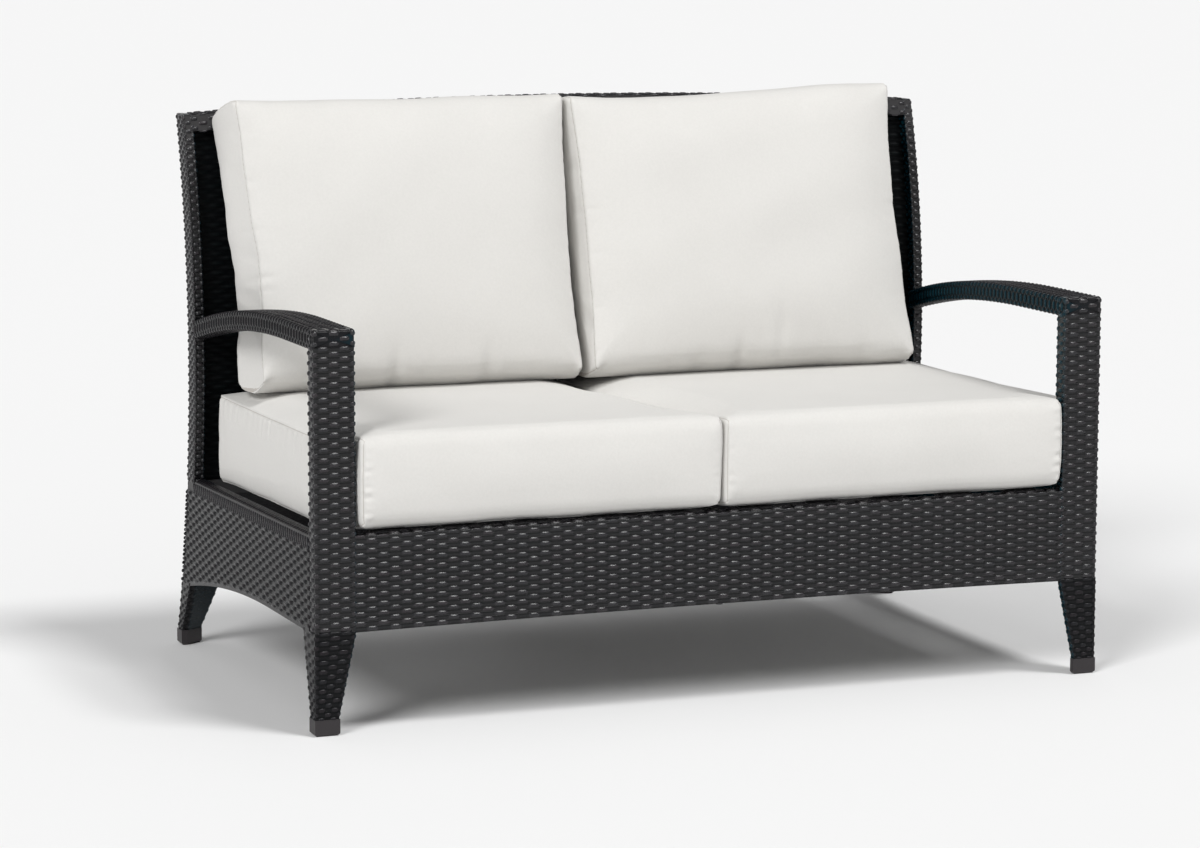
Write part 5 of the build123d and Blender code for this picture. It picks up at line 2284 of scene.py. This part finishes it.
        def clear(local: np.ndarray, rest: np.ndarray) -> np.ndarray:
            """The points, spread and pressed back where they would touch.

            The outer side spreads by a table over the height, the top rises by its crest, and the
            lower front sags onto the seat.

            Args:
                local: Points in the cushion's own axes, one row each.
                rest: Where each point lay before the cover was filled.

            Returns:
                The points that are kept clear.
            """
            a, b, level = local.T
            share = np.clip(rest[:, 0] / self.width, 0.0, 1.0)
            up = np.clip(rest[:, 1] / self.height, 0.0, 1.0)
            first, second = (np.interp(rest[:, 1], self.heights, table) for table in self.spread[which])
            a = a + first * (1 - share) ** 3 + second * share**3
            b = b + (left + (right - left) * glide(share * 1.4 - 0.3)) * up**3
            b = b - self.sag * np.maximum(level, 0.0) * np.exp(-np.maximum(b, 0.0) / 80.0)
            near, far = (-self.far, self.parting[0]) if which == 0 else (self.parting[1], self.far)
            a = np.clip(a, near - start, far - start)
            level = np.where(rest[:, 2] < 30.0, np.maximum(level, rest[:, 2]), level)
            row = axes.to_row(np.stack([a, b, level], 1))
            row[:, 2] = np.maximum(row[:, 2], axes.origin[2])
            beside = FRAME.arm_inner(row[:, 1]) - self.arm_gap
            reach = np.where(rest[:, 1] < self.arm_top, beside, self.far)
            row[:, 0] = np.clip(row[:, 0], -reach, reach)
            return axes.to_local(row)

        return clear

    def cushions(self) -> list[Cushion]:
        """Both cushions.

        Returns:
            The left and the right one.
        """
        made = []
        low_crown, high_crown = self.crowns
        for k, (name, start) in enumerate(zip(SIDES, self.starts)):
            axes = self.axes(start)
            made.append(
                Cushion(
                    name=f"back_pad_{name}", node=f"back_cushion_{name}", core=f"back_core_{name}",
                    body=f"back_cushion_{name}", axes=axes, corners=self.corners(), corner_radius=self.corner,
                    low=lambda a, b: np.zeros(np.shape(a)),
                    high=lambda a, b: np.full(np.shape(a), self.thickness),
                    rise=self.rise, low_crown=low_crown, high_crown=high_crown,
                    low_round=rounding(*self.low_round), high_round=rounding(*self.high_round),
                    bulge=self.swelling, seam=self.seam, detail=self.detail(k), limit=self.limit(k, axes),
                    seed=self.seeds[k], fill=0.75, wave=1.0,
                )
            )
        return made


# ---- studio ----


@dataclass(frozen=True)
class Softbox:
    """Distant light: the way to it, how many degrees it spans, and its light on a facing sheet."""

    name: str
    way: tuple[float, float, float]
    spread: float
    power: float
    distance: float = 4.0

    def build(self) -> None:
        """Hang the light in the scene."""
        data = bpy.data.lights.new(self.name, "SUN")
        data.angle, data.energy = math.radians(self.spread), self.power
        lamp = placed(self.name, data)
        lamp.location = Vector(self.way).normalized() * self.distance
        lamp.rotation_euler = (-Vector(self.way)).to_track_quat("-Z", "Y").to_euler()


@dataclass(frozen=True)
class Studio:
    """Camera at the photograph's view, pale floor and soft lights."""

    focal: float = 116.127
    yaw: float = 0.37803
    pitch: float = 0.14311
    roll: float = 0.0027
    eye: tuple[float, float, float] = (-2.4972, -6.1466, 1.3688)
    lights: tuple[Softbox, ...] = (
        Softbox("key_softbox", (-0.64, -0.52, 0.58), 22.0, 1.75),
        Softbox("top_softbox", (0.3, -0.36, 0.88), 16.0, 1.55),
    )
    floor_reach: float = 80.0
    floor_grey: float = 0.86
    wall: tuple[float, float] = (0.05, 0.9)
    ceiling: tuple[float, float] = (0.4, 0.3)

    def camera(self) -> None:
        """Place the camera: it looks along the yaw, tipped down by the pitch."""
        forward = Vector(
            (
                math.sin(self.yaw) * math.cos(self.pitch),
                math.cos(self.yaw) * math.cos(self.pitch),
                -math.sin(self.pitch),
            )
        )
        right = Vector((math.cos(self.yaw), -math.sin(self.yaw), 0.0))
        up = right.cross(forward)
        turned = right * math.cos(self.roll) + up * math.sin(self.roll)
        above = up * math.cos(self.roll) - right * math.sin(self.roll)
        data = bpy.data.cameras.new("camera")
        data.lens, data.sensor_width, data.sensor_fit = self.focal, 36.0, "HORIZONTAL"
        data.clip_end = 200.0
        camera = placed("camera", data)
        basis = Matrix((turned, above, -forward)).transposed().to_4x4()
        camera.matrix_world = Matrix.Translation(self.eye) @ basis
        bpy.context.scene.camera = camera

    def floor(self) -> None:
        """Wide pale floor."""
        mesh = bpy.data.meshes.new("floor")
        reach = self.floor_reach
        corners = [(-reach, -reach, 0.0), (reach, -reach, 0.0), (reach, reach, 0.0), (-reach, reach, 0.0)]
        mesh.from_pydata(corners, [], [(0, 1, 2, 3)])
        floor = placed("floor", mesh)
        shader = Shader("pale_floor")
        grey = self.floor_grey
        shader.set(Base_Color=(grey, grey, grey, 1.0), Roughness=0.9, Specular_IOR_Level=0.1)
        dress(floor, shader.material)

    def surroundings(self) -> None:
        """Pale walls all round that darken towards the ceiling."""
        world = bpy.data.worlds.new("studio")
        world.use_nodes = True
        tree = world.node_tree
        way = tree.nodes.new("ShaderNodeTexCoord").outputs["Generated"]
        split = tree.nodes.new("ShaderNodeSeparateXYZ")
        tree.links.new(way, split.inputs["Vector"])
        ramp = tree.nodes.new("ShaderNodeValToRGB")
        tree.links.new(split.outputs["Z"], ramp.inputs["Fac"])
        for element, (level, grey) in zip(ramp.color_ramp.elements, (self.wall, self.ceiling)):
            element.position, element.color = level, (grey, grey, grey, 1.0)
        tree.links.new(ramp.outputs["Color"], tree.nodes["Background"].inputs["Color"])
        bpy.context.scene.world = world

    def build(self) -> None:
        """Set up the whole studio."""
        self.camera()
        self.floor()
        for softbox in self.lights:
            softbox.build()
        self.surroundings()
        bpy.context.scene.view_settings.view_transform = "Standard"


def main() -> None:
    """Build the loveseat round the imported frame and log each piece."""
    logging.basicConfig(level=logging.INFO, format="%(message)s")
    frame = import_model()
    wardrobe = Wardrobe.make()
    Hardware().dress(frame["nodes"], wardrobe)
    for group in (Posts(), TopRail(), BackSheets(), Arms(), Aprons(), Legs()):
        for part in group.parts():
            part.make(wardrobe)
    for group in (SeatCushions(), BackCushions()):
        for cushion in group.cushions():
            cushion.build(wardrobe)
    Studio().build()


if __name__ == "__main__":
    main()
